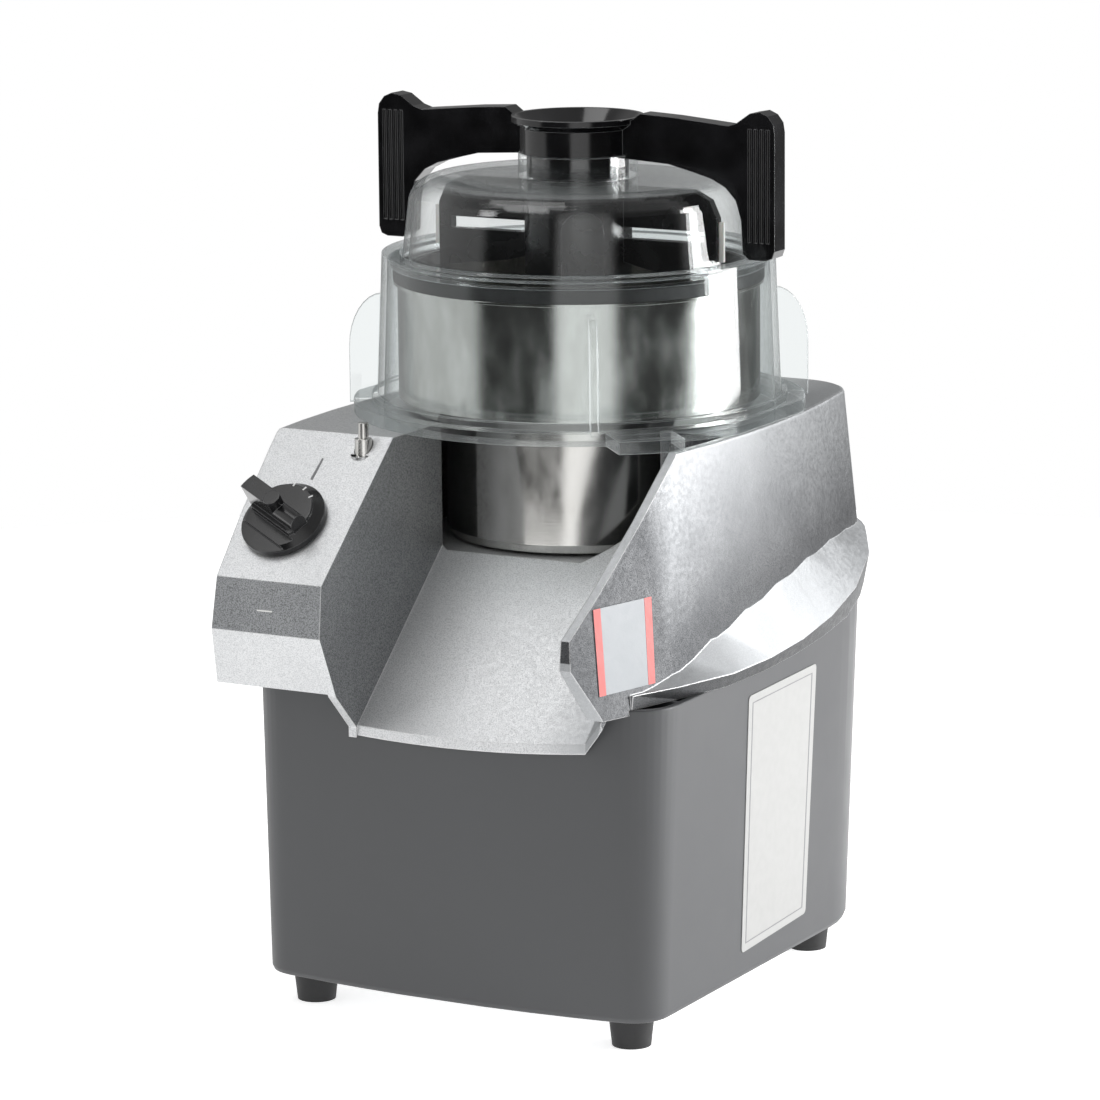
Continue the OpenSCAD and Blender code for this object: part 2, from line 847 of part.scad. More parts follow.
module well_voids() {
  translate([0, 0, well_z])
    cylinder(r = well_r, h = deck_z - well_z + cut, $fn = round_fn * 2);
  translate([0, 0, spigot_z - cut])
    cylinder(r = spigot_r - spigot_wall, h = spigot_h + cut, $fn = round_fn);
  translate([0, 0, well_z - well_floor_t - cut])
    cylinder(r = seal_r, h = well_floor_t + cut * 2, $fn = round_fn);
  translate([0, 0, spigot_z - cut])
    motor_ring(4, bolt_ring_r)
      cylinder(r = bolt_r + shaft_fit, h = bolt_grip + cut * 2, $fn = small_fn);
  for (side = [-1, 1])
    translate([side * locating_pin_pitch_r, 0, well_z - pin_hole_h])
      cylinder(r = locating_pin_r, h = pin_hole_h + cut, $fn = small_fn);
}

module casting_bosses() {
  for (place = foot_places)
    translate(concat(place, seam_at(place.y) + seam_overlap + seam_gap))
      cylinder(r = boss_r, h = deck_z - deck_t - seam_at(place.y) - seam_overlap, $fn = small_fn);
}

module upper_casting() {
  color("#a7a9ab")
    on_axis()
      difference() {
        union() {
          difference() {
            union() {
              casting_shell();
              shoulder();
              intersection() {
                casting_bosses();
                casting_envelope();
              }
            }
            housing_room(seat_gap, seam_overlap + seam_gap);
            below_seam_front();
          }
          well_parts();
          chute_cheek();
          chute_floor();
          chute_left_wall();
          rod_boss();
        }
        chute_void();
        wall_edge_cut();
        well_voids();
        control_holes();
        casting_screw_holes();
      }
}

module chute_cheek() {
  intersection() {
    translate([well_r - casting_wall, chute_back_y - cut, well_z - well_floor_t])
      cube([skirt_half_w, casting_wall + cut, deck_z - well_z + well_floor_t - cut]);
    loft([
      casting_ring(casting_wall / 2, lip_z - chute_floor_t * 3),
      casting_ring(casting_wall / 2, deck_z)
    ]);
  }
}

// Clears the shell below the seam in front of the housing
module below_seam_front() {
  difference() {
    translate([-skirt_half_w * 1.5, -machine_front * 1.5, lip_z - lip_drop])
      cube([skirt_half_w * 3, machine_front * 3, lip_drop + seam_z]);
    above_seam(-console_band_lean);
  }
}

casting_screw_l = 40;
module casting_screw_holes() {
  for (place = foot_places)
    translate(concat(place, seam_at(place.y)))
      cylinder(r = foot_screw_r, h = casting_screw_l / 2, $fn = small_fn);
}

module casting_screws() {
  color("#b9bcc0")
    on_axis()
      for (place = foot_places)
        translate(concat(place, seam_at(place.y) + casting_screw_l / 2 - casting_screw_l - cut))
          cylinder(r = foot_screw_r - shaft_fit, h = casting_screw_l, $fn = small_fn);
}

// The panel's own frame: origin at its top edge above the bowl axis, Z out of it
module on_panel(x, down) {
  translate([-x, panel_top_y, deck_z])
    rotate([slope_deg, 0, 0])
      translate([0, -down, 0])
        children();
}

rod_y = panel_top_y - rod_ahead;
rod_seat_z = deck_z - (rod_ahead + rod_head_r) * slope;
rod_spring_room = 2;
guide_r = rod_head_r + rod_spring_room;
guide_h = 24;
guide_nut_h = 4;
guide_nut_r = guide_r * 1.4;
spot_r = rod_head_r + run_gap;
rod_boss_r = guide_r + casting_wall * 0.8;
rod_boss_h = guide_h - guide_nut_h - seat_gap;
switch_neck_r = 6;
switch_w = 30;
switch_deep = 28;
switch_nut_r = 9;
switch_nut_h = 3;

module at_rod() {
  translate([-rod_x, rod_y, 0]) children();
}

module rod_boss() {
  at_rod()
    intersection() {
      translate([0, 0, rod_seat_z - rod_boss_h])
        cylinder(r = rod_boss_r, h = deck_z - rod_seat_z + rod_boss_h, $fn = round_fn);
      translate([rod_x, -rod_y, 0])
        casting_envelope();
    }
}

module control_holes() {
  on_panel(knob_x, knob_down)
    translate([0, 0, -casting_wall * 2])
      cylinder(r = switch_neck_r + shaft_fit, h = casting_wall * 2 + cut, $fn = round_fn);
  at_rod() {
    translate([0, 0, rod_seat_z])
      cylinder(r = spot_r, h = deck_z - rod_seat_z + cut, $fn = round_fn);
    translate([0, 0, rod_seat_z - guide_h - cut])
      cylinder(r = guide_r + shaft_fit, h = guide_h + cut * 1.5, $fn = round_fn);
  }
}

// Motor
winding_h = 12;
motor_top = spigot_z - seat_gap;
stator_top = motor_top - shield_t - winding_h - seat_gap;
stator_low = stator_top - stator_h;
motor_low = stator_low - shield_t - winding_h - seat_gap;
winding_r = stator_r * 0.84;
stator_bore_r = rotor_r + run_gap;
slot_ring_r = (stator_bore_r + winding_r) / 2;
winding_bars = 18;
winding_bar_r = 3;
bolt_r = 2.2;
bolt_grip = 16;
bolt_inset = 6;
bolt_ring_r = stator_r - bolt_inset;
register_h = 4;
register_fit = 0.05;

module motor_ring(count, r) {
  for (k = [0:count - 1])
    rotate([0, 0, 360 / count * (k + 0.5)])
      translate([r, 0, 0])
        children();
}

module motor_stator() {
  color("#77797c")
    on_axis()
      translate([0, 0, stator_low])
        difference() {
          cylinder(r = stator_r, h = stator_h, $fn = round_fn);
          translate([0, 0, -cut])
            cylinder(r = stator_bore_r, h = stator_h + cut * 2, $fn = round_fn);
          motor_ring(winding_bars, slot_ring_r)
            translate([0, 0, -cut])
              cylinder(r = winding_bar_r + seat_gap, h = stator_h + cut * 2, $fn = small_fn);
          motor_ring(4, bolt_ring_r)
            translate([0, 0, -cut])
              cylinder(r = bolt_r + seat_gap, h = stator_h + cut * 2, $fn = small_fn);
        }
}

module winding_end(z) {
  translate([0, 0, z])
    difference() {
      cylinder(r = winding_r, h = winding_h - run_gap * 2, $fn = round_fn);
      translate([0, 0, -cut])
        cylinder(r = stator_bore_r + run_gap, h = winding_h + cut * 2, $fn = round_fn);
    }
}

module stator_windings() {
  color("#b4703a")
    on_axis() {
      winding_end(stator_top + run_gap);
      winding_end(stator_low - winding_h + run_gap);
      motor_ring(winding_bars, slot_ring_r)
        translate([0, 0, stator_low - run_gap * 2])
          cylinder(r = winding_bar_r, h = stator_h + run_gap * 4, $fn = small_fn);
    }
}

// A cup with a bearing pocket, open below, rim at zero
module end_shield() {
  rim = winding_h + seat_gap;
  difference() {
    union() {
      cylinder(r = stator_r, h = rim + shield_t, $fn = round_fn);
      children();
    }
    translate([0, 0, -cut])
      cylinder(r = winding_r + run_gap * 2, h = rim + cut, $fn = round_fn);
    translate([0, 0, -cut])
      cylinder(r = bearing_r + seat_gap, h = rim + bearing_w + cut, $fn = round_fn);
    translate([0, 0, -cut])
      cylinder(r = shaft_r + run_gap * 4, h = rim + shield_t * 2, $fn = round_fn);
    motor_ring(4, bolt_ring_r)
      translate([0, 0, -cut])
        cylinder(r = bolt_r + seat_gap, h = rim + shield_t * 2, $fn = small_fn);
  }
}

module upper_end_shield() {
  color("#9c9ea1")
    on_axis()
      translate([0, 0, stator_top + seat_gap])
        end_shield()
          translate([0, 0, winding_h + shield_t])
            cylinder(r = spigot_r - spigot_wall - register_fit, h = register_h, $fn = round_fn);
}

module lower_end_shield() {
  color("#97999c")
    on_axis()
      translate([0, 0, stator_low - seat_gap])
        mirror([0, 0, 1])
          end_shield();
}

module motor_bolts() {
  head_r = 4.2;
  head_h = 4;
  color("#b9bcc0")
    on_axis()
      motor_ring(4, bolt_ring_r)
        translate([0, 0, motor_low - seat_gap]) {
          cylinder(r = bolt_r, h = spigot_z - motor_low + bolt_grip, $fn = small_fn);
          translate([0, 0, -head_h])
            cylinder(r = head_r, h = head_h, $fn = 6);
        }
}

module bearing(z) {
  on_axis()
    translate([0, 0, z])
      difference() {
        cylinder(r = bearing_r, h = bearing_w, $fn = round_fn);
        translate([0, 0, -cut])
          cylinder(r = shaft_r + shaft_fit, h = bearing_w + cut * 2, $fn = round_fn);
      }
}

module upper_bearing() {
  color("#c3c6c9")
    bearing(motor_top - shield_t + (shield_t - bearing_w) / 2 - seat_gap * 3);
}

module lower_bearing() {
  color("#c3c6c9")
    bearing(motor_low + shield_t - bearing_w - (shield_t - bearing_w) / 2 + seat_gap * 3);
}

// Capacitor, standing on the base plate behind the motor
capacitor_r = 17;
capacitor_h = 66;
capacitor_x = -58;
capacitor_y = 84;
clip_t = 1.6;
clip_z = 20;
clip_h = 14;

module start_capacitor() {
  color("#c9cbcd")
    on_axis()
      translate([capacitor_x, capacitor_y, housing_inner_z + clip_t + seat_gap * 2]) {
        cylinder(r = capacitor_r, h = capacitor_h, $fn = round_fn);
        cylinder(r = capacitor_r * 0.5, h = capacitor_h + clip_t * 2, $fn = round_fn);
      }
}

module capacitor_clip() {
  foot_l = capacitor_r * 1.55;
  color("#a2a4a6")
    on_axis()
      translate([capacitor_x, capacitor_y, housing_inner_z + seat_gap]) {
        difference() {
          cylinder(r = capacitor_r + seat_gap + clip_t, h = clip_z + clip_h, $fn = round_fn);
          translate([0, 0, clip_t])
            cylinder(r = capacitor_r + seat_gap, h = clip_z + clip_h, $fn = round_fn);
          translate([-capacitor_r * 2, -capacitor_r * 2, clip_t])
            cube([capacitor_r * 4, capacitor_r * 4, clip_z - clip_t]);
          translate([-clip_t * 2, -capacitor_r * 2, clip_t])
            cube([clip_t * 4, capacitor_r * 2, clip_z + clip_h]);
        }
        for (side = [-1, 1])
          translate([side * (capacitor_r + seat_gap + clip_t / 2) - clip_t / 2, -clip_h / 4, 0])
            cube([clip_t, clip_h / 2, clip_z + clip_h]);
        translate([-foot_l, -clip_h / 2, 0])
          cube([foot_l * 2, clip_h, clip_t]);
      }
}

// Shaft, from under the fan to the tip that turns the knife
tip_h = 9;
tip_r = shaft_r * 0.93;
column_top = bowl_z + column_h;
shaft_top = column_top + tip_h;
fan_h = 12;
fan_z = motor_low - fan_h - fan_h / 2;
fan_r = stator_r * 0.9;
fan_hub_wall = 5;
fan_hub_r = shaft_r + fan_hub_wall;

module drive_shaft() {
  color("#c8cacc")
    on_axis() {
      translate([0, 0, fan_z - run_gap * 4])
        cylinder(r = shaft_r, h = column_top - fan_z, $fn = round_fn);
      translate([0, 0, fan_z])
        cylinder(r = tip_r, h = shaft_top - fan_z, $fn = 6);
    }
}

module motor_rotor() {
  color("#8b8d90")
    on_axis()
      translate([0, 0, stator_low])
        difference() {
          cylinder(r = rotor_r, h = stator_h, $fn = round_fn);
          translate([0, 0, -cut])
            cylinder(r = shaft_r + shaft_fit, h = stator_h + cut * 2, $fn = round_fn);
        }
}

module cooling_fan() {
  blade_thick = 2;
  color("#2f3133")
    on_axis()
      translate([0, 0, fan_z])
        difference() {
          union() {
            cylinder(r = fan_hub_r, h = fan_h, $fn = round_fn);
            cylinder(r = fan_r, h = blade_thick, $fn = round_fn);
            for (k = [0:fan_blades - 1])
              rotate([0, 0, 360 / fan_blades * k])
                translate([fan_hub_r - fan_hub_wall / 2, -blade_thick / 2, blade_thick / 2])
                  cube([fan_r - fan_hub_r, blade_thick, fan_h - blade_thick]);
          }
          translate([0, 0, -cut])
            cylinder(r = shaft_r + shaft_fit, h = fan_h + cut * 2, $fn = round_fn);
        }
}

// Well fittings
module bowl_pins() {
  color("#c8cacc")
    on_axis()
      for (side = [-1, 1])
        translate([side * locating_pin_pitch_r, 0, well_z - pin_hole_h + seat_gap]) {
          cylinder(r = locating_pin_r - shaft_fit, h = pin_hole_h + locating_pin_h, $fn = round_fn);
        }
}

module shaft_seal() {
  color("#28292a")
    on_axis()
      translate([0, 0, well_z - seal_h - seat_gap])
        difference() {
          cylinder(r = seal_r - seat_gap / 2, h = seal_h, $fn = round_fn);
          translate([0, 0, -cut])
            cylinder(r = shaft_r + shaft_fit, h = seal_h + cut * 2, $fn = round_fn);
        }
}

// Controls
module switch_body() {
  color("#d8d6cf")
    on_axis()
      on_panel(knob_x, knob_down)
        difference() {
          union() {
            translate([-switch_w / 2, -switch_w / 2, -casting_wall - seat_gap - switch_deep])
              cube([switch_w, switch_w, switch_deep]);
            translate([0, 0, -casting_wall - cut])
              cylinder(r = switch_neck_r, h = casting_wall + cut + switch_nut_h, $fn = round_fn);
          }
          translate([0, 0, -switch_deep])
            cylinder(r = spindle_r + shaft_fit, h = switch_deep * 2, $fn = round_fn);
        }
}

module switch_nut() {
  color("#b9bcc0")
    on_axis()
      on_panel(knob_x, knob_down)
        translate([0, 0, seat_gap])
          difference() {
            cylinder(r = switch_nut_r, h = switch_nut_h, $fn = 6);
            translate([0, 0, -cut])
              cylinder(r = switch_neck_r + shaft_fit, h = switch_nut_h + cut * 2, $fn = round_fn);
          }
}

knob_lift = 0.8;
knob_recess_r = switch_nut_r + run_gap;
knob_recess_h = switch_nut_h + run_gap;
knob_grip_w = 9;
knob_rest_deg = -27;

module switch_knob() {
  top_r = knob_r * 0.78;
  step_r = knob_r * 0.3;
  ridge_z = knob_h * 0.75 - knob_grip_w / 2;
  color("#161617")
    on_axis()
      on_panel(knob_x, knob_down)
        rotate([0, 0, knob_rest_deg])
          translate([0, 0, knob_lift])
            difference() {
              union() {
                difference() {
                  union() {
                    cylinder(r = knob_r, h = knob_skirt_h * 0.45, $fn = round_fn);
                    translate([0, 0, knob_skirt_h * 0.45])
                      cylinder(r1 = knob_r, r2 = top_r, h = knob_skirt_h * 0.55, $fn = round_fn);
                    cylinder(r = top_r, h = knob_skirt_h * 1.25, $fn = round_fn);
                  }
                  translate([-knob_r, -knob_r - step_r, knob_skirt_h * 0.75])
                    cube([knob_r * 2, knob_r, knob_h]);
                  translate([-knob_r, -knob_r - step_r * 2, knob_skirt_h * 0.5])
                    cube([knob_r * 2, knob_r, knob_h]);
                }
                intersection() {
                  translate([-knob_r, -knob_grip_w / 2, 0])
                    cube([knob_r, knob_grip_w, knob_h * 0.95]);
                  cylinder(r = knob_r * 0.96, h = knob_h, $fn = round_fn);
                }
                cylinder(r = knob_grip_w / 2, h = knob_h, $fn = round_fn);
                translate([0, 0, ridge_z])
                  rotate([0, 90, 0])
                    cylinder(r = knob_grip_w / 2, h = top_r, $fn = round_fn);
                translate([0, -knob_grip_w / 2, 0])
                  cube([top_r, knob_grip_w, ridge_z]);
              }
              translate([0, 0, -cut])
                cylinder(r = knob_recess_r, h = knob_recess_h + cut, $fn = round_fn);
              cylinder(r = spindle_r + shaft_fit, h = knob_h - knob_skirt_h / 2, $fn = round_fn);
            }
}

module switch_spindle() {
  low = switch_deep * 0.7;
  color("#c8cacc")
    on_axis()
      on_panel(knob_x, knob_down)
        translate([0, 0, -low])
          cylinder(r = spindle_r, h = low + knob_lift + knob_h - knob_skirt_h, $fn = round_fn);
}

// Safety rod, pressed down by the guard ring's ear
rod_travel = 4;
spring_h = guide_h - guide_nut_h * 2;
rod_head_top = deck_z - seat_gap * 2;
spring_z = rod_seat_z - guide_h + guide_nut_h;
rod_head_z = spring_z + spring_h;
rod_tip_up = 7.5;
rod_tail = 10;

module rod_guide() {
  arm_l = 46;
  arm_t = 2;
  color("#8c8f92")
    on_axis()
      at_rod()
        difference() {
          union() {
            translate([0, 0, rod_seat_z - guide_h])
              cylinder(r = guide_r, h = guide_h - seat_gap, $fn = round_fn);
            translate([0, 0, rod_seat_z - guide_h])
              cylinder(r = guide_nut_r, h = guide_nut_h, $fn = 6);
            translate([-guide_r, guide_r, rod_seat_z - guide_h + guide_nut_h / 2 - arm_l])
              cube([guide_r * 2, arm_t, arm_l]);
          }
          translate([0, 0, spring_z])
            cylinder(r = rod_head_r + shaft_fit, h = guide_h, $fn = round_fn);
          translate([0, 0, rod_seat_z - guide_h - cut])
            cylinder(r = rod_r + shaft_fit, h = guide_h, $fn = round_fn);
        }
}

module safety_rod() {
  color("#c8cacc")
    on_axis()
      at_rod() {
        translate([0, 0, rod_head_z])
          cylinder(r = rod_head_r, h = rod_head_top - rod_head_z, $fn = round_fn);
        translate([0, 0, rod_seat_z - guide_h - rod_tail])
          cylinder(r = rod_r, h = deck_z + rod_tip_up - rod_seat_z + guide_h + rod_tail, $fn = round_fn);
      }
}

spring_wire = 0.8;
spring_turns = 5;
spring_steps = 14;

module rod_spring() {
  coil_r = (rod_head_r + rod_r) / 2;
  pitch = (spring_h - spring_wire - run_gap * 2) / spring_turns;
  color("#b9bcc0")
    on_axis()
      at_rod()
        translate([0, 0, spring_z + spring_wire / 2 + run_gap])
          loft([
            for (k = [0:spring_turns * spring_steps])
              let (a = 360 / spring_steps * k)
                [
                  for (q = [0:5])
                    let (r = coil_r + spring_wire / 2 * cos(q * 60))
                      [
                        r * cos(a),
                        r * sin(a),
                        pitch * k / spring_steps + spring_wire / 2 * sin(q * 60)
                      ]
                ]
          ]);
}

module interlock_switch() {
  body_w = 18;
  body_t = 10;
  body_h = 16;
  plunger_h = 2;
  color("#232526")
    on_axis()
      at_rod()
        translate([0, 0, rod_seat_z - guide_h - rod_tail - rod_travel - seat_gap - plunger_h]) {
          cylinder(r = rod_r * 0.7, h = plunger_h, $fn = round_fn);
          translate([-body_w / 2, guide_r - seat_gap - body_t, -body_h])
            cube([body_w, body_t, body_h]);
        }
}

// Bowl
module bowl() {
  step = 4;
  inner_low = bowl_low_r - bowl_t;
  inner_up = bowl_r - bowl_t;
  color("#b6b3ab")
    on_axis()
      difference() {
        rotate_extrude($fn = round_fn * 2)
          polygon([
            [column_r - bowl_t * 2, bowl_z],
            [bowl_low_r - bowl_edge_r, bowl_z],
            [bowl_low_r - bowl_edge_r * 0.29, bowl_z + bowl_edge_r * 0.29],
            [bowl_low_r, bowl_z + bowl_edge_r],
            [bowl_low_r, bowl_step_z - step],
            [bowl_r - step, bowl_step_z - step * 0.3],
            [bowl_r, bowl_step_z + step],
            [bowl_r, bowl_rim_z - bowl_t],
            [bowl_rim_r, bowl_rim_z - bowl_t],
            [bowl_rim_r, bowl_rim_z],
            [inner_up, bowl_rim_z],
            [inner_up, bowl_step_z + step + bowl_t],
            [inner_up - step, bowl_step_z + bowl_t],
            [inner_low, bowl_step_z],
            [inner_low, bowl_z + bowl_edge_r + bowl_t],
            [inner_low - bowl_edge_r * 0.5, bowl_z + bowl_disc_t],
            [column_r - bowl_t * 2, bowl_z + bowl_disc_t]
          ]);
        for (side = [-1, 1])
          translate([side * locating_pin_pitch_r, 0, bowl_z - cut])
            cylinder(r = locating_pin_r + shaft_fit, h = locating_pin_h + cut * 1.6, $fn = round_fn);
      }
}

bush_t = 3;
bush_r = shaft_r + bush_t;

module bowl_column() {
  color("#c8c9c8")
    on_axis()
      translate([0, 0, bowl_z])
        difference() {
          union() {
            cylinder(r = column_r - bowl_t * 2 - shaft_fit, h = column_h, $fn = round_fn);
            translate([0, 0, bowl_disc_t + seat_gap])
              cylinder(r = column_r, h = column_h - bowl_disc_t - seat_gap, $fn = round_fn);
          }
          translate([0, 0, -cut])
            cylinder(r = bush_r + shaft_fit, h = column_h + cut * 2, $fn = round_fn);
        }
}

module column_bush() {
  color("#b08d4a")
    on_axis()
      translate([0, 0, bowl_z + bowl_disc_t])
        difference() {
          cylinder(r = bush_r, h = column_h - bowl_disc_t, $fn = round_fn);
          translate([0, 0, -cut])
            cylinder(r = shaft_r + shaft_fit, h = column_h, $fn = round_fn);
        }
}

// Knife
hub_low = bowl_z + bowl_disc_t + run_gap * 2;
hub_bore_r = column_r + shaft_fit;
hub_top = hub_low + hub_h;
cap_t = 3;
cap_h = 12;

module knife_hub() {
  color("#1c1d1e")
    on_axis()
      difference() {
        translate([0, 0, hub_low])
          cylinder(r = hub_r, h = hub_h, $fn = round_fn);
        translate([0, 0, hub_low - cut])
          cylinder(r = hub_bore_r, h = column_top + run_gap * 2 - hub_low + cut, $fn = round_fn);
        translate([0, 0, column_top])
          cylinder(r = tip_r + seat_gap / 2, h = tip_h + run_gap * 2, $fn = 6);
        for (k = [0:1])
          blade_seat(k, seat_gap);
      }
}

// The ring groove round the hub in which a blade is clamped
module blade_seat(k, gap) {
  translate([0, 0, blade_z(k) - gap])
    difference() {
      cylinder(r = hub_r + cut, h = blade_t + gap * 2, $fn = round_fn);
      translate([0, 0, -cut])
        cylinder(r = blade_ring_r - gap, h = blade_t + cut * 4, $fn = round_fn);
    }
}
blade_ring_t = 2;
blade_ring_r = hub_bore_r + blade_ring_t;
function blade_z(k) = hub_low + blade_low + k * blade_pitch;

// A blade in plan: a sickle with its edge outside
module blade_outline() {
  curve_r = blade_reach * 0.62;
  difference() {
    intersection() {
      translate([blade_reach - curve_r, 0])
        circle(r = curve_r, $fn = round_fn);
      translate([0, -blade_w])
        square([blade_reach, blade_reach]);
    }
    translate([blade_reach - curve_r - blade_w * 0.35, blade_w * 0.75])
      circle(r = curve_r - blade_w * 0.45, $fn = round_fn);
  }
}

module blade(k, turn) {
  teeth = floor(blade_reach * 0.55 / tooth_step);
  on_axis()
    translate([0, 0, blade_z(k)])
      rotate([0, 0, turn])
        difference() {
          linear_extrude(blade_t) {
            difference() {
              union() {
                circle(r = hub_r - seat_gap, $fn = round_fn);
                for (side = [0, 180])
                  rotate([0, 0, side])
                    blade_outline();
              }
              circle(r = blade_ring_r, $fn = round_fn);
              for (side = [0, 180], n = [0:teeth - 1])
                rotate([0, 0, side])
                  translate([blade_reach * 0.38 + n * tooth_step, tooth_y(n)])
                    circle(r = tooth_r, $fn = small_fn);
            }
          }
        }
}
function tooth_y(n) = let (r = blade_reach * 0.62, x = blade_reach * 0.38 + n * tooth_step)
  -sqrt(max(0, r * r - pow(x - (blade_reach - r), 2)));

module lower_blade() {
  color("#c9cbcc")
    blade(0, 20);
}

module upper_blade() {
  color("#c9cbcc")
    blade(1, 110);
}

module knife_cap() {
  color("#1c1d1e")
    on_axis()
      translate([0, 0, hub_top + seat_gap])
        difference() {
          union() {
            cylinder(r = hub_r * 0.9, h = cap_h - cap_t, $fn = round_fn);
            cylinder(r = hub_r * 0.75, h = cap_h, $fn = round_fn);
          }
          for (k = [0:2])
            rotate([0, 0, 120 * k])
              translate([hub_r, 0, cap_t])
                cylinder(r = hub_r * 0.3, h = cap_h, $fn = small_fn);
        }
}

// Lid
module lid_gasket() {
  color("#2b2c2e")
    on_axis()
      translate([0, 0, gasket_z])
        difference() {
          cylinder(r = bowl_rim_r + seat_gap, h = gasket_h - seat_gap * 2, $fn = round_fn * 2);
          translate([0, 0, -cut])
            cylinder(r = bowl_rim_r - gasket_w, h = gasket_h + cut * 2, $fn = round_fn * 2);
        }
}

neck_bore_r = feed_neck_r + shaft_fit * 2;

module lid_dome() {
  e = dome_edge_r;
  i = dome_edge_r - dome_t;
  top = dome_top_z;
  t = dome_t;
  arc_n = 7;
  color("#e8ecef")
    on_axis()
      rotate_extrude($fn = round_fn * 2)
        polygon(concat(
          [
            [neck_bore_r, top - t],
            [neck_bore_r, neck_z],
            [neck_r, neck_z],
            [neck_r, top]
          ],
          [for (k = [0:arc_n]) dome_corner(e, 90 - 90 * k / arc_n, 0)],
          [
            [dome_foot_r, flange_top_z],
            [dome_flange_r, flange_top_z],
            [dome_flange_r, flange_z],
            [dome_foot_r - t, flange_z]
          ],
          [for (k = [arc_n:-1:0]) dome_corner(i, 90 - 90 * k / arc_n, t)]
        ));
}
function dome_corner(r, a, t) = [
  dome_shoulder_r - dome_edge_r + r * cos(a),
  dome_top_z - dome_edge_r + r * sin(a)
];

// Scraper: feed tube with two grips, frame and flexible edges
grip_rise = 7;
grip_low_z = feed_top_z - grip_h + grip_rise;
grip_in = handle_reach - grip_w;

// One side of the handle, in shares of its reach and the grip's height
handle_shares = [
  [0.245, 0.842], [0.34, 0.947], [0.5, 0.934], [0.773, 0.897],
  [0.815, 0.918], [0.88, 0.987], [0.927, 1], [0.966, 0.974],
  [0.993, 0.921], [1, 0.855], [1, 0.066], [0.988, 0.018],
  [0.957, 0], [0.876, 0], [0.845, 0.039], [0.837, 0.263],
  [0.811, 0.395], [0.76, 0.48], [0.691, 0.533], [0.614, 0.566],
  [0.48, 0.616], [0.245, 0.637]
];

module handle_side() {
  rotate([90, 0, 0])
    translate([0, 0, -handle_t / 2])
      linear_extrude(handle_t)
        polygon([
          for (p = handle_shares)
            [p.x * handle_reach, grip_low_z + p.y * grip_h]
        ]);
}

module grip_grooves() {
  groove_r = 1;
  pitch = (grip_w - groove_r) / (groove_count + 1);
  for (k = [1:groove_count], face = [-1, 1])
    translate([grip_in + groove_r / 2 + pitch * k, face * handle_t / 2, grip_low_z + grip_w / 2])
      cylinder(r = groove_r, h = grip_h - grip_w, $fn = small_fn);
}

module scraper_handle() {
  color("#141415")
    on_axis()
      difference() {
        union() {
          rotate_extrude($fn = round_fn)
            polygon([
              [feed_neck_r - feed_t, neck_z - neck_h + run_gap],
              [feed_neck_r, neck_z - neck_h + run_gap],
              [feed_neck_r, neck_z + run_gap],
              [feed_tube_r, neck_z + run_gap],
              [feed_tube_r, feed_top_z - feed_t * 2],
              [feed_rim_r, feed_top_z - feed_t],
              [feed_rim_r, feed_top_z],
              [feed_rim_r - feed_t * 0.7, feed_top_z],
              [feed_neck_r - feed_t, feed_top_z - feed_t * 3]
            ]);
          for (side = [0, 180])
            rotate([0, 0, side])
              difference() {
                handle_side();
                grip_grooves();
                cylinder(r = neck_r + run_gap * 2, h = neck_z + run_gap * 2, $fn = round_fn);
              }
        }
        translate([0, 0, neck_z - neck_h - cut])
          cylinder(r = feed_neck_r - feed_t, h = casting_h, $fn = round_fn);
        cylinder(r = frame_collar_r + seat_gap, h = neck_z, $fn = round_fn);
      }
}

flex_w = 3;
frame_tube_gap = 1.5;
frame_tube_r = feed_neck_r + frame_tube_gap;
frame_collar_r = feed_neck_r - feed_t;
frame_t = 2.5;
frame_top = dome_top_z - dome_t - run_gap * 3;
frame_low = bowl_rim_z + run_gap * 8;
leg_low = bowl_rim_z - leg_drop;
leg_r = bowl_r - bowl_t - run_gap * 2 - flex_w;
dome_inner_r = dome_shoulder_r - dome_t - run_gap * 2 - flex_w;
arch_deg = 33;
arch_w = 22;
arch_h = 35;

// One side of the frame in the XZ plane
function vane_outline() = [
  [frame_tube_r - frame_t, frame_low + vane_gap * 4],
  [frame_tube_r * 1.5, frame_low + vane_gap * 2],
  [leg_r - flex_w * 4, frame_low],
  [leg_r - flex_w * 4, leg_low],
  [leg_r, leg_low],
  [leg_r, bowl_rim_z - vane_gap * 2],
  [dome_inner_r, bowl_rim_z],
  [dome_inner_r, frame_top - dome_edge_r],
  [dome_inner_r - dome_edge_r * 0.3, frame_top - dome_edge_r * 0.35],
  [dome_inner_r - dome_edge_r, frame_top],
  [frame_tube_r - frame_t, frame_top]
];

module vane(t) {
  rotate([90, 0, 0])
    translate([0, 0, -t / 2])
      linear_extrude(t)
        children();
}

module scraper_frame() {
  slot_low_share = 0.42;
  slot_low = frame_low + (frame_top - frame_low) * slot_low_share;
  color("#18191a")
    on_axis() {
      difference() {
        union() {
          translate([0, 0, frame_low])
            cylinder(r = frame_tube_r, h = frame_top - frame_low, $fn = round_fn);
          translate([0, 0, frame_low])
            cylinder(r = frame_collar_r, h = neck_z - frame_low - run_gap, $fn = round_fn);
          for (side = [0, 180])
            rotate([0, 0, side])
              vane(vane_t)
                difference() {
                  polygon(vane_outline());
                  translate([frame_tube_r, slot_low])
                    square([dome_inner_r - frame_tube_r - vane_t * 1.5, vane_gap * 3]);
                }
          for (side = [0, 180])
            rotate([0, 0, arch_deg - 90 + side])
              arch_pad();
        }
        translate([0, 0, frame_low - cut])
          cylinder(r = frame_collar_r - frame_t, h = neck_z, $fn = round_fn);
      }
    }
}

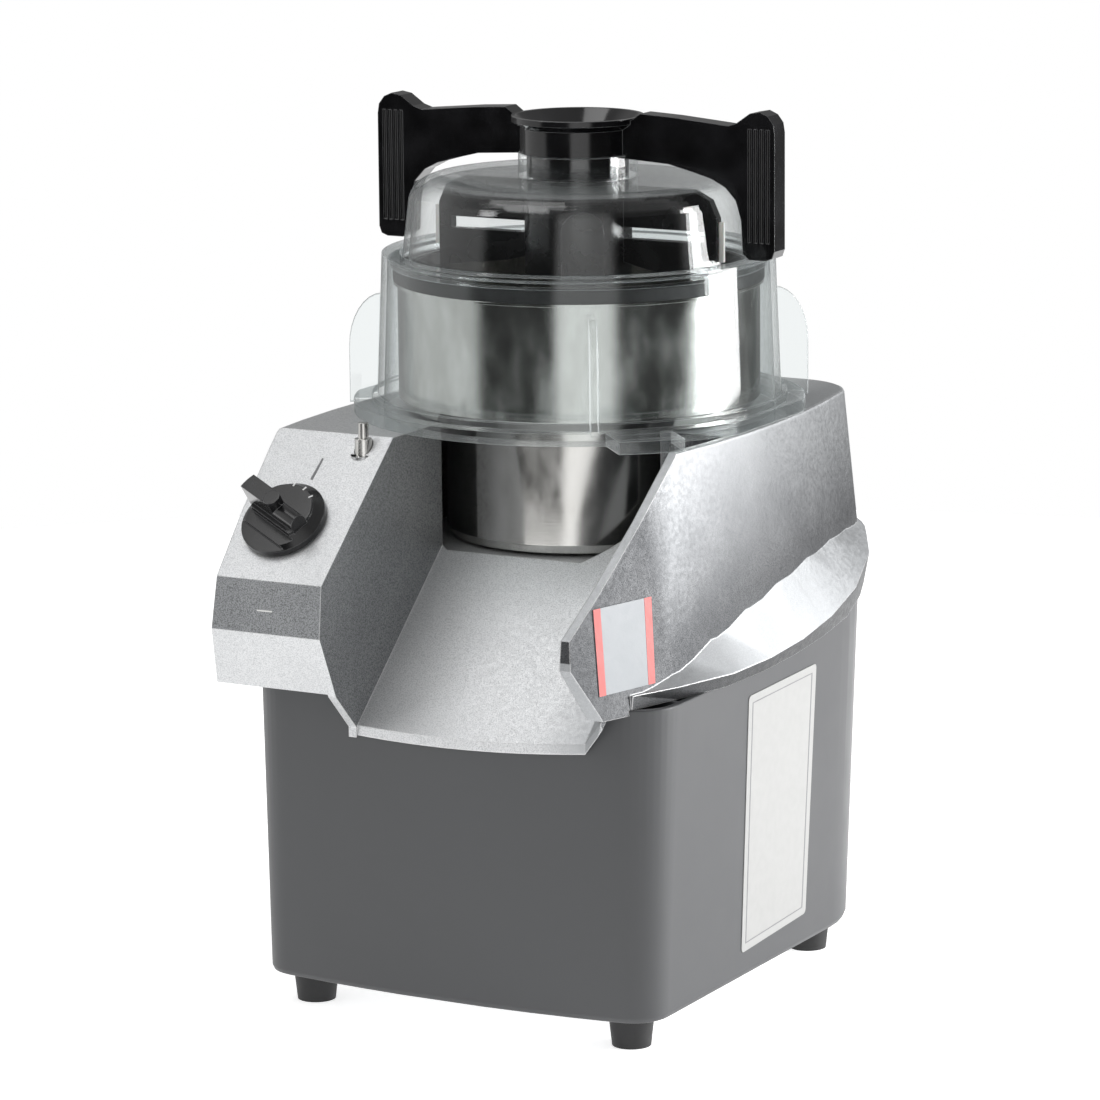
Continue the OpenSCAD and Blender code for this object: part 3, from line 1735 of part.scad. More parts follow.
module arch_pad() {
  intersection() {
    translate([0, 0, frame_low])
      cylinder(r = frame_tube_r + frame_t, h = arch_h, $fn = round_fn);
    union() {
      translate([0, -arch_w / 2, frame_low])
        cube([frame_tube_r * 2, arch_w, arch_h - arch_w / 2]);
      translate([0, 0, frame_low + arch_h - arch_w / 2])
        rotate([0, 90, 0])
          cylinder(r = arch_w / 2, h = frame_tube_r * 2, $fn = round_fn);
    }
  }
}

module scraper_blades() {
  blade_edge_t = 2;
  color("#e3e3df")
    on_axis()
      for (side = [0, 180])
        rotate([0, 0, side])
          vane(blade_edge_t) {
            translate([leg_r + seat_gap, leg_low])
              square([flex_w - seat_gap, leg_drop - vane_gap * 2]);
            translate([dome_inner_r + seat_gap, flange_top_z + vane_gap])
              square([flex_w - seat_gap, frame_top - dome_edge_r - flange_top_z - vane_gap * 2]);
          }
}

// Guard ring
guard_plate_w = casting_right_w - cut;
ear_w = 34;
guard_step_h = 3;
guard_clamp_lap = 5;
guard_clamp_r = dome_flange_r - guard_clamp_lap;

module guard_ear() {
  rotate([0, 0, guard_ear_deg])
    translate([guard_foot_r, -ear_w / 2, plate_z])
      intersection() {
        cube([guard_ear_r - guard_foot_r, ear_w, guard_plate_t]);
        translate([-guard_foot_r, ear_w / 2, 0])
          cylinder(r = guard_ear_r, h = guard_plate_t, $fn = arc_fn);
      }
}

module guard_plate() {
  difference() {
    intersection() {
      translate([0, 0, plate_z])
        cylinder(r = guard_plate_r, h = guard_plate_t, $fn = round_fn * 2);
      translate([-guard_plate_w, -guard_plate_r, plate_z])
        cube([guard_plate_w * 2, guard_plate_r * 2, guard_plate_t]);
    }
    translate([0, 0, plate_z - cut])
      cylinder(r = guard_foot_r, h = guard_plate_t + cut * 2, $fn = round_fn * 2);
  }
}

module guard_fin() {
  fin_low_z = plate_z + guard_plate_t * 0.8;
  rotate([90, 0, 0])
    translate([0, 0, -fin_t / 2])
      linear_extrude(fin_t)
        polygon(concat(
          [[guard_foot_r - guard_t / 2, fin_low_z], [fin_r, fin_low_z]],
          [
            for (k = [0:fin_steps])
              let (a = 90 / fin_steps * k)
                [
                  guard_top_r + (fin_r - guard_top_r) * cos(a),
                  plate_z + fin_h * (1 - fin_round_share * (1 - sin(a)))
                ]
          ],
          [[guard_top_r - guard_t / 2, plate_z + fin_h]]
        ));
}

module guard_ring() {
  step_z = plate_z + guard_plate_t + guard_step_h;
  color("#dfe4e8")
    on_axis() {
      rotate_extrude($fn = round_fn * 2)
        polygon([
          [guard_foot_r - guard_t, plate_z],
          [guard_foot_r + guard_step_h, plate_z],
          [guard_foot_r + guard_step_h, step_z],
          [guard_foot_r, step_z],
          [guard_top_r, guard_top_z],
          [guard_clamp_r, guard_top_z],
          [guard_clamp_r, guard_top_z - guard_t],
          [guard_top_r - guard_t, guard_top_z - guard_t]
        ]);
      guard_plate();
      for (side = [90, 270])
        rotate([0, 0, side])
          guard_ear();
      for (side = [0:3])
        rotate([0, 0, side * 90 + fin_deg])
          guard_fin();
    }
}
fin_round_share = 0.45;
fin_deg = 32;
fin_steps = 8;

motor_housing();
base_plate();
foot_front_left();
foot_front_right();
foot_rear_left();
foot_rear_right();
foot_screws();
cable_gland();
gland_nut();
upper_casting();
casting_screws();
bowl_pins();
shaft_seal();
motor_stator();
stator_windings();
upper_end_shield();
lower_end_shield();
motor_bolts();
upper_bearing();
lower_bearing();
start_capacitor();
capacitor_clip();
switch_body();
switch_nut();
interlock_switch();
rod_guide();
drive_shaft();
motor_rotor();
cooling_fan();
bowl();
bowl_column();
column_bush();
knife_hub();
lower_blade();
upper_blade();
knife_cap();
lid_gasket();
lid_dome();
scraper_handle();
scraper_frame();
scraper_blades();
guard_ring();
switch_knob();
switch_spindle();
safety_rod();
rod_spring();
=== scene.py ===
import json
import math

import bmesh
import bpy
from bpy.props import FloatProperty, FloatVectorProperty, IntProperty, PointerProperty
from mathutils import Matrix, Vector
from mathutils.bvhtree import BVHTree


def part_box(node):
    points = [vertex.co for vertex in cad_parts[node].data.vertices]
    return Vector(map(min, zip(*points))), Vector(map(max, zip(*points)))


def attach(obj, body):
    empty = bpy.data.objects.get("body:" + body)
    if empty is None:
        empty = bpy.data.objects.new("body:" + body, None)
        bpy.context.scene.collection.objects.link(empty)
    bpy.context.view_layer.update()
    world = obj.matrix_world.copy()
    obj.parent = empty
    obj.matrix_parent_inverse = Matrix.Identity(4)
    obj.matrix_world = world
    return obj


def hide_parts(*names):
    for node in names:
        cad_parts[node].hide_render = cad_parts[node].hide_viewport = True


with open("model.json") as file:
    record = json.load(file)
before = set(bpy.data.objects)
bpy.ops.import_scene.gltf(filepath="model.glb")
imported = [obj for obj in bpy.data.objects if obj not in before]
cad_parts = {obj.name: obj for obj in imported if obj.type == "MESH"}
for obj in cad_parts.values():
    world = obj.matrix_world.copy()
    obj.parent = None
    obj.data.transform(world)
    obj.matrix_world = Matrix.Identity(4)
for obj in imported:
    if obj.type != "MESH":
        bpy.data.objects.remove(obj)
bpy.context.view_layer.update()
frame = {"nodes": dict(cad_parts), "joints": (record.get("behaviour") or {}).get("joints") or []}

bl_info = {
    "name": "Cutter mixer dressing",
    "version": (1, 0, 0),
    "blender": (4, 5, 0),
    "location": "View3D > Sidebar > Cutter mixer",
    "description": "Finishes, plates, marks and studio for a countertop cutter mixer",
    "category": "Object",
}

MM = 0.001
BOWL_AXIS_Y = sum(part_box("bowl")[k].y for k in (0, 1)) / 2


# Colours and nodes

NOISE = "ShaderNodeTexNoise"
RANGE = "ShaderNodeMapRange"
MIX = "ShaderNodeMix"
MATH = "ShaderNodeMath"
BEVEL = "ShaderNodeBevel"
BUMP = "ShaderNodeBump"
PRINCIPLED = "ShaderNodeBsdfPrincipled"
COLOUR = {"data_type": "RGBA"}
PRODUCT = {"operation": "MULTIPLY"}
# Noise seldom leaves this span, so a Map Range node reads it as the whole
SPAN = {"From Min": 0.35, "From Max": 0.65}
BEVEL_SAMPLES = 6


def srgb(code):
    """An sRGB hex colour as linear RGBA."""
    parts = [int(code[i : i + 2], 16) / 255 for i in (1, 3, 5)]
    line = [p / 12.92 if p <= 0.04045 else ((p + 0.055) / 1.055) ** 2.4 for p in parts]
    return (*line, 1.0)


def toned(colour, share=1.0):
    """A linear colour at a share of its brightness, opaque."""
    return (*(c * share for c in colour[:3]), 1.0)


def add(tree, kind, sockets=None, **settings):
    """Adds a node with its settings, and sets or links its inputs."""
    node = tree.nodes.new(kind)
    for name, value in settings.items():
        setattr(node, name, value)
    for key, value in (sockets or {}).items():
        if isinstance(value, bpy.types.Node):
            value = value.outputs[0]
        if isinstance(value, bpy.types.NodeSocket):
            tree.links.new(value, node.inputs[key])
        else:
            node.inputs[key].default_value = value
    return node


def new_material(name):
    material = bpy.data.materials.new(name)
    material.use_nodes = True
    material.node_tree.nodes.clear()
    return material, material.node_tree


def finish_material(material, shader):
    add(material.node_tree, "ShaderNodeOutputMaterial", {"Surface": shader})
    return material


def in_mm(tree, stretch=(1.0, 1.0, 1.0)):
    """Object coordinates in millimetres, drawn out along an axis where stretch is below 1."""
    place = add(tree, "ShaderNodeTexCoord").outputs["Object"]
    scale = tuple(s / MM for s in stretch)
    return add(tree, "ShaderNodeMapping", {"Vector": place, "Scale": scale})


def grained(tree, size_mm, detail, stretch=(1.0, 1.0, 1.0)):
    """A pattern whose grains are about size_mm across."""
    sockets = {"Vector": in_mm(tree, stretch), "Scale": 1.0 / size_mm, "Detail": detail}
    return add(tree, NOISE, sockets).outputs["Fac"]


def two_tone(tree, pattern, first, second, most=1.0):
    """Two colours that change over with a pattern."""
    share = add(tree, RANGE, {"Value": pattern, **SPAN, "To Min": 0.0, "To Max": most})
    return add(tree, MIX, {0: share, 6: first, 7: second}, **COLOUR).outputs[2]


def relief(tree, pattern, depth_mm, strength, edge_mm):
    """A surface raised by a pattern, with its edges softened to a radius."""
    soft = add(tree, BEVEL, {"Radius": edge_mm * MM}, samples=BEVEL_SAMPLES)
    sockets = {"Distance": depth_mm * MM, "Strength": strength, "Normal": soft}
    return add(tree, BUMP, {"Height": pattern, **sockets})


def edge_share(tree, radius_mm, most):
    """0 on open faces, rising to most along edges, within a radius of them."""
    soft = add(tree, BEVEL, {"Radius": radius_mm * MM}, samples=BEVEL_SAMPLES)
    plain = add(tree, "ShaderNodeNewGeometry").outputs["Normal"]
    turn = add(tree, "ShaderNodeVectorMath", {0: soft, 1: plain}, operation="DOT_PRODUCT")
    sockets = {
        "Value": turn.outputs["Value"],
        "From Min": 0.985,
        "From Max": 0.85,
        "To Min": 0.0,
        "To Max": 1.0,
    }
    return add(tree, MATH, {0: add(tree, RANGE, sockets), 1: most}, **PRODUCT)


# Finishes


def blasted_aluminium():
    """Cast aluminium, bead blasted and finely grained: light grey where a face looks up; painted
    shade on the walls, with a coarser speckle; painted shade that deepens every tone towards the
    right; and a painted highlight, near white, along the edges."""
    material, tree = new_material("blasted_aluminium")
    clouds = grained(tree, 45.0, 3.0)
    # Real bead marks are about 0.3 mm across; they are drawn at 0.6 mm so that they show
    grain = grained(tree, 0.6, 3.0)
    pits = grained(tree, 2.6, 4.0)
    soft = add(tree, BEVEL, {"Radius": 0.9 * MM}, samples=BEVEL_SAMPLES)
    faces = add(tree, "ShaderNodeSeparateXYZ", {0: soft}).outputs
    place = add(tree, "ShaderNodeSeparateXYZ", {0: in_mm(tree)}).outputs
    # What is read, between which values, and what it becomes at each
    wall, front, low, right, specks, cloudy, rough = (
        add(
            tree,
            RANGE,
            {"Value": value, "From Min": a, "From Max": b, "To Min": c, "To Max": d},
        )
        for value, a, b, c, d in (
            (faces[2], 0.12, 0.4, 1.0, 0.0),
            (faces[1], -0.6, -0.3, 1.0, 0.0),
            (place[2], 210.2, 210.8, 1.0, 0.0),
            (place[0], 60.0, 90.0, 0.0, 1.0),
            (grain, 0.38, 0.56, 0.75, 0.0),
            (clouds, 0.35, 0.65, 0.0, 1.0),
            (pits, 0.35, 0.65, 0.42, 0.54),
        )
    )
    # Painted shade on the walls: faces that don't look up get the dark tones, except faces
    # looking to the front below 210.5 mm
    band = add(tree, MATH, {0: front, 1: low}, **PRODUCT)
    elsewhere = add(tree, RANGE, {"Value": band, "To Min": 1.0, "To Max": 0.0})
    dark = add(tree, MATH, {0: wall, 1: elsewhere}, **PRODUCT)
    # Painted shade: each pair of tones darkens from left to right between x 60 and 90 mm; the
    # deep and speck tones are the painted wall shade
    light, deep, painted_shade_speck = (
        add(tree, MIX, {0: right, 6: srgb(left_tone), 7: srgb(right_tone)}, **COLOUR).outputs[2]
        for left_tone, right_tone in (
            ("#d6d7d8", "#a3a5a7"),
            ("#9c9ea0", "#4c4d4f"),
            ("#5b5d5f", "#2c2e30"),
        )
    )
    base = add(tree, MIX, {0: dark, 6: light, 7: deep}, **COLOUR).outputs[2]
    bright = add(tree, "ShaderNodeBrightContrast", {"Color": base, "Bright": 0.04})
    base = add(tree, MIX, {0: cloudy, 6: base, 7: bright}, **COLOUR).outputs[2]
    # Specks of the grain: light on faces that look up, in the painted shade tone on the walls
    speck = add(tree, MIX, {0: dark, 6: srgb("#b2b4b6"), 7: painted_shade_speck}, **COLOUR).outputs[2]
    base = add(tree, MIX, {0: specks, 6: base, 7: speck}, **COLOUR).outputs[2]
    # Painted highlight: the edges are mixed towards near white
    painted_edge_highlight = edge_share(tree, 0.9, 0.7)
    base = add(tree, MIX, {0: painted_edge_highlight, 6: base, 7: srgb("#eeeeee")}, **COLOUR).outputs[2]
    sockets = {
        "Base Color": base,
        "Metallic": 0.72,
        "Roughness": rough,
        "Normal": relief(tree, grain, 0.1, 0.8, edge_mm=0.9),
    }
    return finish_material(material, add(tree, PRINCIPLED, sockets))


def satin_paint(colour):
    """Baked satin paint on sheet steel: dark grey with a faint orange peel that breaks
    the sheen, and slightly duller where hands have wiped it."""
    material, tree = new_material("satin_paint")
    peel = grained(tree, 1.6, 1.0)
    wiped = grained(tree, 70.0, 4.0)
    sockets = {
        "Base Color": two_tone(tree, wiped, toned(colour, 0.9), toned(colour)),
        "Roughness": add(tree, RANGE, {"Value": wiped, **SPAN, "To Min": 0.36, "To Max": 0.48}),
        "Specular IOR Level": 0.5,
        "Normal": relief(tree, peel, 0.02, 0.5, edge_mm=1.6),
    }
    return finish_material(material, add(tree, PRINCIPLED, sockets))


def polished_stainless():
    """Spun stainless steel, polished: near-mirror streaks with fine turning lines round
    the axis and faint smears from wiping."""
    material, tree = new_material("polished_stainless")
    # Turning lines are 0.05 mm apart on the real bowl and 0.5 mm here
    lines = grained(tree, 0.5, 2.0, stretch=(0.02, 0.02, 1.0))
    smears = grained(tree, 16.0, 4.0, stretch=(1.0, 1.0, 0.45))
    sockets = {
        "Base Color": two_tone(tree, smears, srgb("#c3c2be"), srgb("#d8d7d4")),
        "Metallic": 1.0,
        "Roughness": add(tree, RANGE, {"Value": smears, **SPAN, "To Min": 0.1, "To Max": 0.22}),
        "Normal": relief(tree, lines, 0.01, 0.35, edge_mm=0.4),
    }
    return finish_material(material, add(tree, PRINCIPLED, sockets))


def ground_stainless():
    """Ground stainless steel bar and sheet: a satin grey with a fine cross grain."""
    material, tree = new_material("ground_stainless")
    lines = grained(tree, 0.6, 2.0, stretch=(0.05, 0.05, 1.0))
    sockets = {
        "Base Color": two_tone(tree, lines, srgb("#b4b5b6"), srgb("#cfd0d1")),
        "Metallic": 1.0,
        "Roughness": add(tree, RANGE, {"Value": lines, **SPAN, "To Min": 0.24, "To Max": 0.36}),
        "Normal": relief(tree, lines, 0.015, 0.4, edge_mm=0.3),
    }
    return finish_material(material, add(tree, PRINCIPLED, sockets))


def black_plastic(name, colour, smooth, rough, depth_mm):
    """Moulded black plastic: a deep gloss with slight sink and a fine tool texture that softens
    the reflections a little, with a painted highlight in light grey along rounded edges."""
    material, tree = new_material(name)
    flow = grained(tree, 18.0, 3.0)
    tooled = grained(tree, 0.9, 2.0)
    base = two_tone(tree, flow, srgb(colour), srgb("#121214"))
    wear = {"Value": flow, **SPAN, "To Min": smooth, "To Max": rough}
    # Painted highlight: rounded edges are mixed towards light grey
    lit = edge_share(tree, 0.6, 0.5)
    base = add(tree, MIX, {0: lit, 6: base, 7: srgb("#77787a")}, **COLOUR).outputs[2]
    sockets = {
        "Base Color": base,
        "Roughness": add(tree, RANGE, wear),
        "Coat Weight": 0.25,
        "Coat Roughness": 0.08,
        "Normal": relief(tree, tooled, depth_mm, 0.5, edge_mm=0.7),
    }
    return finish_material(material, add(tree, PRINCIPLED, sockets))


def moulded_rubber():
    """Moulded nitrile rubber: matt black, dusty on the surface."""
    material, tree = new_material("moulded_rubber")
    dust = grained(tree, 6.0, 4.0)
    fine = grained(tree, 0.7, 2.0)
    sockets = {
        "Base Color": two_tone(tree, dust, srgb("#151516"), srgb("#2c2c2d"), 0.7),
        "Roughness": add(tree, RANGE, {"Value": dust, **SPAN, "To Min": 0.5, "To Max": 0.68}),
        "Normal": relief(tree, fine, 0.03, 0.6, edge_mm=0.4),
    }
    return finish_material(material, add(tree, PRINCIPLED, sockets))


def clear_polycarbonate(name, tint):
    """Injection moulded clear polycarbonate: nearly invisible face on, mirroring the room
    and whitish towards its edges, with the faint ripple of the mould."""
    material, tree = new_material(name)
    normal = relief(tree, grained(tree, 22.0, 1.0), 0.12, 0.3, edge_mm=0.8)
    facing = add(tree, "ShaderNodeLayerWeight", {"Blend": 0.5, "Normal": normal})
    steep = add(tree, MATH, {0: facing.outputs["Facing"], 1: 4.0}, operation="POWER")
    mirror, haze = (
        add(
            tree,
            RANGE,
            {"Value": steep, "From Min": a, "From Max": b, "To Min": c, "To Max": d},
        )
        for a, b, c, d in ((0.0, 1.0, 0.045, 0.9), (0.1, 0.9, 0.0, 0.35))
    )
    through = add(tree, "ShaderNodeBsdfTransparent", {"Color": srgb(tint)})
    shine = add(tree, "ShaderNodeBsdfGlossy", {"Roughness": 0.04, "Normal": normal})
    clear = add(tree, "ShaderNodeMixShader", {0: mirror, 1: through, 2: shine})
    milky = {"Color": srgb("#f4f8f9"), "Normal": normal}
    edge = add(tree, "ShaderNodeBsdfTranslucent", milky)
    share = add(tree, MATH, {0: haze, 1: edge_share(tree, 0.7, 0.55)}, operation="MAXIMUM")
    return finish_material(
        material, add(tree, "ShaderNodeMixShader", {0: share, 1: clear, 2: edge})
    )


def white_elastomer():
    """Soft white thermoplastic elastomer, moulded: waxy, with a drag grain."""
    material, tree = new_material("white_elastomer")
    drag = grained(tree, 1.2, 2.0, stretch=(1.0, 1.0, 0.2))
    sockets = {
        "Base Color": two_tone(tree, drag, srgb("#e9e8e3"), srgb("#f6f5f1")),
        "Roughness": 0.42,
        "Subsurface Weight": 0.15,
        "Subsurface Scale": 2 * MM,
        "Normal": relief(tree, drag, 0.02, 0.4, edge_mm=0.3),
    }
    return finish_material(material, add(tree, PRINCIPLED, sockets))


def laminated_iron():
    """Stacked electrical sheet, 0.5 mm each: dark grey lines round the stack."""
    material, tree = new_material("laminated_iron")
    sheets = add(
        tree,
        "ShaderNodeTexWave",
        {"Vector": in_mm(tree), "Scale": 0.35, "Distortion": 0.4, "Detail": 2.0},
        bands_direction="Z",
    ).outputs["Fac"]
    tones = {0: sheets, 6: srgb("#55565a"), 7: srgb("#7c7d80")}
    depth = {"Height": sheets, "Distance": 0.1 * MM, "Strength": 0.5}
    raised = add(tree, BUMP, depth)
    sockets = {
        "Base Color": add(tree, MIX, tones, **COLOUR).outputs[2],
        "Metallic": 0.9,
        "Roughness": 0.48,
        "Normal": raised,
    }
    return finish_material(material, add(tree, PRINCIPLED, sockets))


def enamelled_copper():
    """Bundles of varnished copper wire, 0.8 mm thick: warm brown with bright strands."""
    material, tree = new_material("enamelled_copper")
    strands = add(
        tree,
        "ShaderNodeTexWave",
        {"Vector": in_mm(tree), "Scale": 0.4, "Distortion": 3.0, "Detail": 3.0},
        bands_direction="DIAGONAL",
    ).outputs["Fac"]
    tones = {0: strands, 6: srgb("#6e3a1a"), 7: srgb("#c87b45")}
    depth = {"Height": strands, "Distance": 0.25 * MM, "Strength": 0.7}
    raised = add(tree, BUMP, depth)
    sockets = {
        "Base Color": add(tree, MIX, tones, **COLOUR).outputs[2],
        "Metallic": 0.7,
        "Roughness": 0.35,
        "Normal": raised,
    }
    return finish_material(material, add(tree, PRINCIPLED, sockets))


def die_cast_alloy():
    """Die-cast aluminium as it leaves the tool: dull light grey with flow marks."""
    material, tree = new_material("die_cast_alloy")
    flow = grained(tree, 9.0, 5.0)
    sockets = {
        "Base Color": two_tone(tree, flow, srgb("#a3a4a6"), srgb("#bfc0c1")),
        "Metallic": 0.85,
        "Roughness": add(tree, RANGE, {"Value": flow, **SPAN, "To Min": 0.4, "To Max": 0.55}),
        "Normal": relief(tree, flow, 0.06, 0.5, edge_mm=0.5),
    }
    return finish_material(material, add(tree, PRINCIPLED, sockets))


def sintered_bronze():
    """Sintered bronze: dull brown gold with fine pores."""
    material, tree = new_material("sintered_bronze")
    # Real pores are far finer; they are drawn at 0.6 mm so that they show
    pores = grained(tree, 0.6, 3.0)
    depth = {"Height": pores, "Distance": 0.05 * MM, "Strength": 0.5}
    raised = add(tree, BUMP, depth)
    sockets = {
        "Base Color": two_tone(tree, pores, srgb("#8a6a3c"), srgb("#b9945c")),
        "Metallic": 1.0,
        "Roughness": 0.4,
        "Normal": raised,
    }
    return finish_material(material, add(tree, PRINCIPLED, sockets))


def printed_film(name, colour):
    """Screen-printed polyester film: flat colour under a satin face, slightly mottled."""
    material, tree = new_material(name)
    mottle = grained(tree, 5.0, 3.0)
    film = grained(tree, 0.8, 1.0)
    wear = {"Value": mottle, **SPAN, "To Min": 0.34, "To Max": 0.44}
    depth = {"Height": film, "Distance": 0.01 * MM, "Strength": 0.4}
    raised = add(tree, BUMP, depth)
    sockets = {
        "Base Color": two_tone(tree, mottle, toned(colour, 0.93), toned(colour)),
        "Roughness": add(tree, RANGE, wear),
        "Normal": raised,
    }
    return finish_material(material, add(tree, PRINCIPLED, sockets))


def studio_paper():
    """Matt background paper lit from behind: plain and pale, with its faint fibre."""
    material, tree = new_material("studio_paper")
    fibre = grained(tree, 3.0, 2.0)
    sockets = {
        "Base Color": two_tone(tree, fibre, srgb("#f3f3f3"), srgb("#f8f8f8")),
        "Roughness": 0.75,
        "Emission Color": srgb("#ffffff"),
        "Emission Strength": 0.62,
    }
    return finish_material(material, add(tree, PRINCIPLED, sockets))


# Shapes

# Points nearer than this become one: in a copied mesh, and where a corner shrinks to a point
MERGED = 2e-6
SAME_PLACE = 1e-7
# A plate's height over its width, about the same for both
PLATE_RATIO = 1.7
CORNER_STEPS = 4


def dress(nodes, material):
    """Gives CAD nodes one finish."""
    for name in nodes:
        node = frame["nodes"][name]
        node.data.materials.clear()
        node.data.materials.append(material)


def mesh_object(name, verts, faces, material):
    mesh = bpy.data.meshes.new(name)
    mesh.from_pydata([tuple(v) for v in verts], [], faces)
    mesh.validate()
    mesh.materials.append(material)
    piece = bpy.data.objects.new(name, mesh)
    bpy.context.scene.collection.objects.link(piece)
    return piece


def smoothed_copy(node, name, material, body, crease_deg):
    """A merged copy of a node's mesh, smooth across its small facets, that stands for it."""
    mesh = frame["nodes"][node].data.copy()
    mesh.name = name
    build = bmesh.new()
    build.from_mesh(mesh)
    bmesh.ops.remove_doubles(build, verts=build.verts, dist=MERGED)
    bmesh.ops.dissolve_degenerate(build, dist=SAME_PLACE, edges=build.edges)
    limit = math.radians(crease_deg)
    for face in build.faces:
        face.smooth = True
    for edge in build.edges:
        turn = edge.calc_face_angle(math.pi) if len(edge.link_faces) == 2 else math.pi
        edge.smooth = turn < limit
    build.to_mesh(mesh)
    build.free()
    if "custom_normal" in mesh.attributes:
        mesh.attributes.remove(mesh.attributes["custom_normal"])
    mesh.materials.clear()
    mesh.materials.append(material)
    piece = bpy.data.objects.new(name, mesh)
    bpy.context.scene.collection.objects.link(piece)
    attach(piece, body)
    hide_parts(node)
    return piece


def within(corners, u0, v0, u1, v1):
    """The corners of a part of a four-cornered field, by shares of its width and height."""
    a, b, c, d = (Vector(q) for q in corners)
    return [
        a.lerp(b, u).lerp(d.lerp(c, u), v) for u, v in ((u0, v0), (u1, v0), (u1, v1), (u0, v1))
    ]


class PhotoView:
    """The photograph's camera, fitted to the object: an image of 1100 by 1100 pixels."""

    turn, pitch, roll = (math.radians(a) for a in (28.7, 11.4, -0.5))
    focal_px, half_px = 5200.0, 550.0
    away, aside, height = 2.7377, -0.0162, 0.2248

    def __init__(self):
        t, p, r = self.turn, self.pitch, self.roll
        self.back = Vector((math.sin(t) * math.cos(p), -math.cos(t) * math.cos(p), math.sin(p)))
        right = Vector((math.cos(t), math.sin(t), 0.0))
        up = self.back.cross(right)
        self.right = math.cos(r) * right + math.sin(r) * up
        self.up = -math.sin(r) * right + math.cos(r) * up
        target = Vector((0.0, BOWL_AXIS_Y, self.height))
        self.eye = target + self.aside * self.right + self.away * self.back

    def ray(self, x, y):
        across = (x - self.half_px) / self.focal_px
        down = (y - self.half_px) / self.focal_px
        return (across * self.right - down * self.up - self.back).normalized()

    def matrix(self):
        turned = Matrix((self.right, self.up, self.back)).transposed()
        return Matrix.Translation(self.eye) @ turned.to_4x4()


VIEW = PhotoView()


def surface_of(node):
    data = frame["nodes"][node].data
    return BVHTree.FromPolygons(
        [v.co.copy() for v in data.vertices], [tuple(p.vertices) for p in data.polygons]
    )


def laid_plate(name, node, corners, thick, lift, round_share, material, across, down):
    """A thin plate with round corners that follows a node's surface, between four pixels,
    drawn in so many steps across and down."""
    tree = surface_of(node)
    rows = []
    turns = [math.pi * k / (2 * CORNER_STEPS) for k in range(CORNER_STEPS + 1)]
    ends = [0.5 - 0.5 * math.cos(turn) for turn in turns]
    levels = sorted(set(
        [round_share * e * 2 for e in ends]
        + [1 - round_share * e * 2 for e in ends]
        + [round_share + (1 - 2 * round_share) * k / down for k in range(down + 1)]
    ))
    width_share = round_share * PLATE_RATIO
    for v in levels:
        near = min(v, 1 - v)
        inset = 0.0
        if near < round_share:
            inset = width_share * (1 - math.sqrt(max(0.0, 1 - (1 - near / round_share) ** 2)))
        row = []
        for k in range(across + 1):
            u = inset + (1 - 2 * inset) * k / across
            a, b, c, d = (Vector(q) for q in corners)
            px = (a * (1 - u) + b * u) * (1 - v) + (d * (1 - u) + c * u) * v
            hit, normal, _, _ = tree.ray_cast(VIEW.eye, VIEW.ray(px.x, px.y))
            if hit is None:
                raise RuntimeError(f"{name} misses {node} at pixel {px.x:.0f}, {px.y:.0f}")
            row.append((hit, normal))
        rows.append(row)
    verts, faces = [], []
    wide = across + 1
    for height in (lift, lift + thick):
        for row in rows:
            verts += [hit + normal * height for hit, normal in row]
    half = len(rows) * wide
    for j in range(len(rows) - 1):
        for k in range(across):
            a = j * wide + k
            quad = (a, a + 1, a + 1 + wide, a + wide)
            faces.append(quad)
            faces.append(tuple(q + half for q in reversed(quad)))
    rim = list(range(wide))
    rim += [j * wide + across for j in range(1, len(rows))]
    rim += [(len(rows) - 1) * wide + k for k in range(across - 1, -1, -1)]
    rim += [j * wide for j in range(len(rows) - 2, 0, -1)]
    for k, a in enumerate(rim):
        b = rim[(k + 1) % len(rim)]
        faces.append((b, a, a + half, b + half))
    piece = mesh_object(name, verts, faces, material)
    build = bmesh.new()
    build.from_mesh(piece.data)
    bmesh.ops.remove_doubles(build, verts=build.verts, dist=SAME_PLACE)
    bmesh.ops.recalc_face_normals(build, faces=build.faces)
    build.to_mesh(piece.data)
    build.free()
    return piece


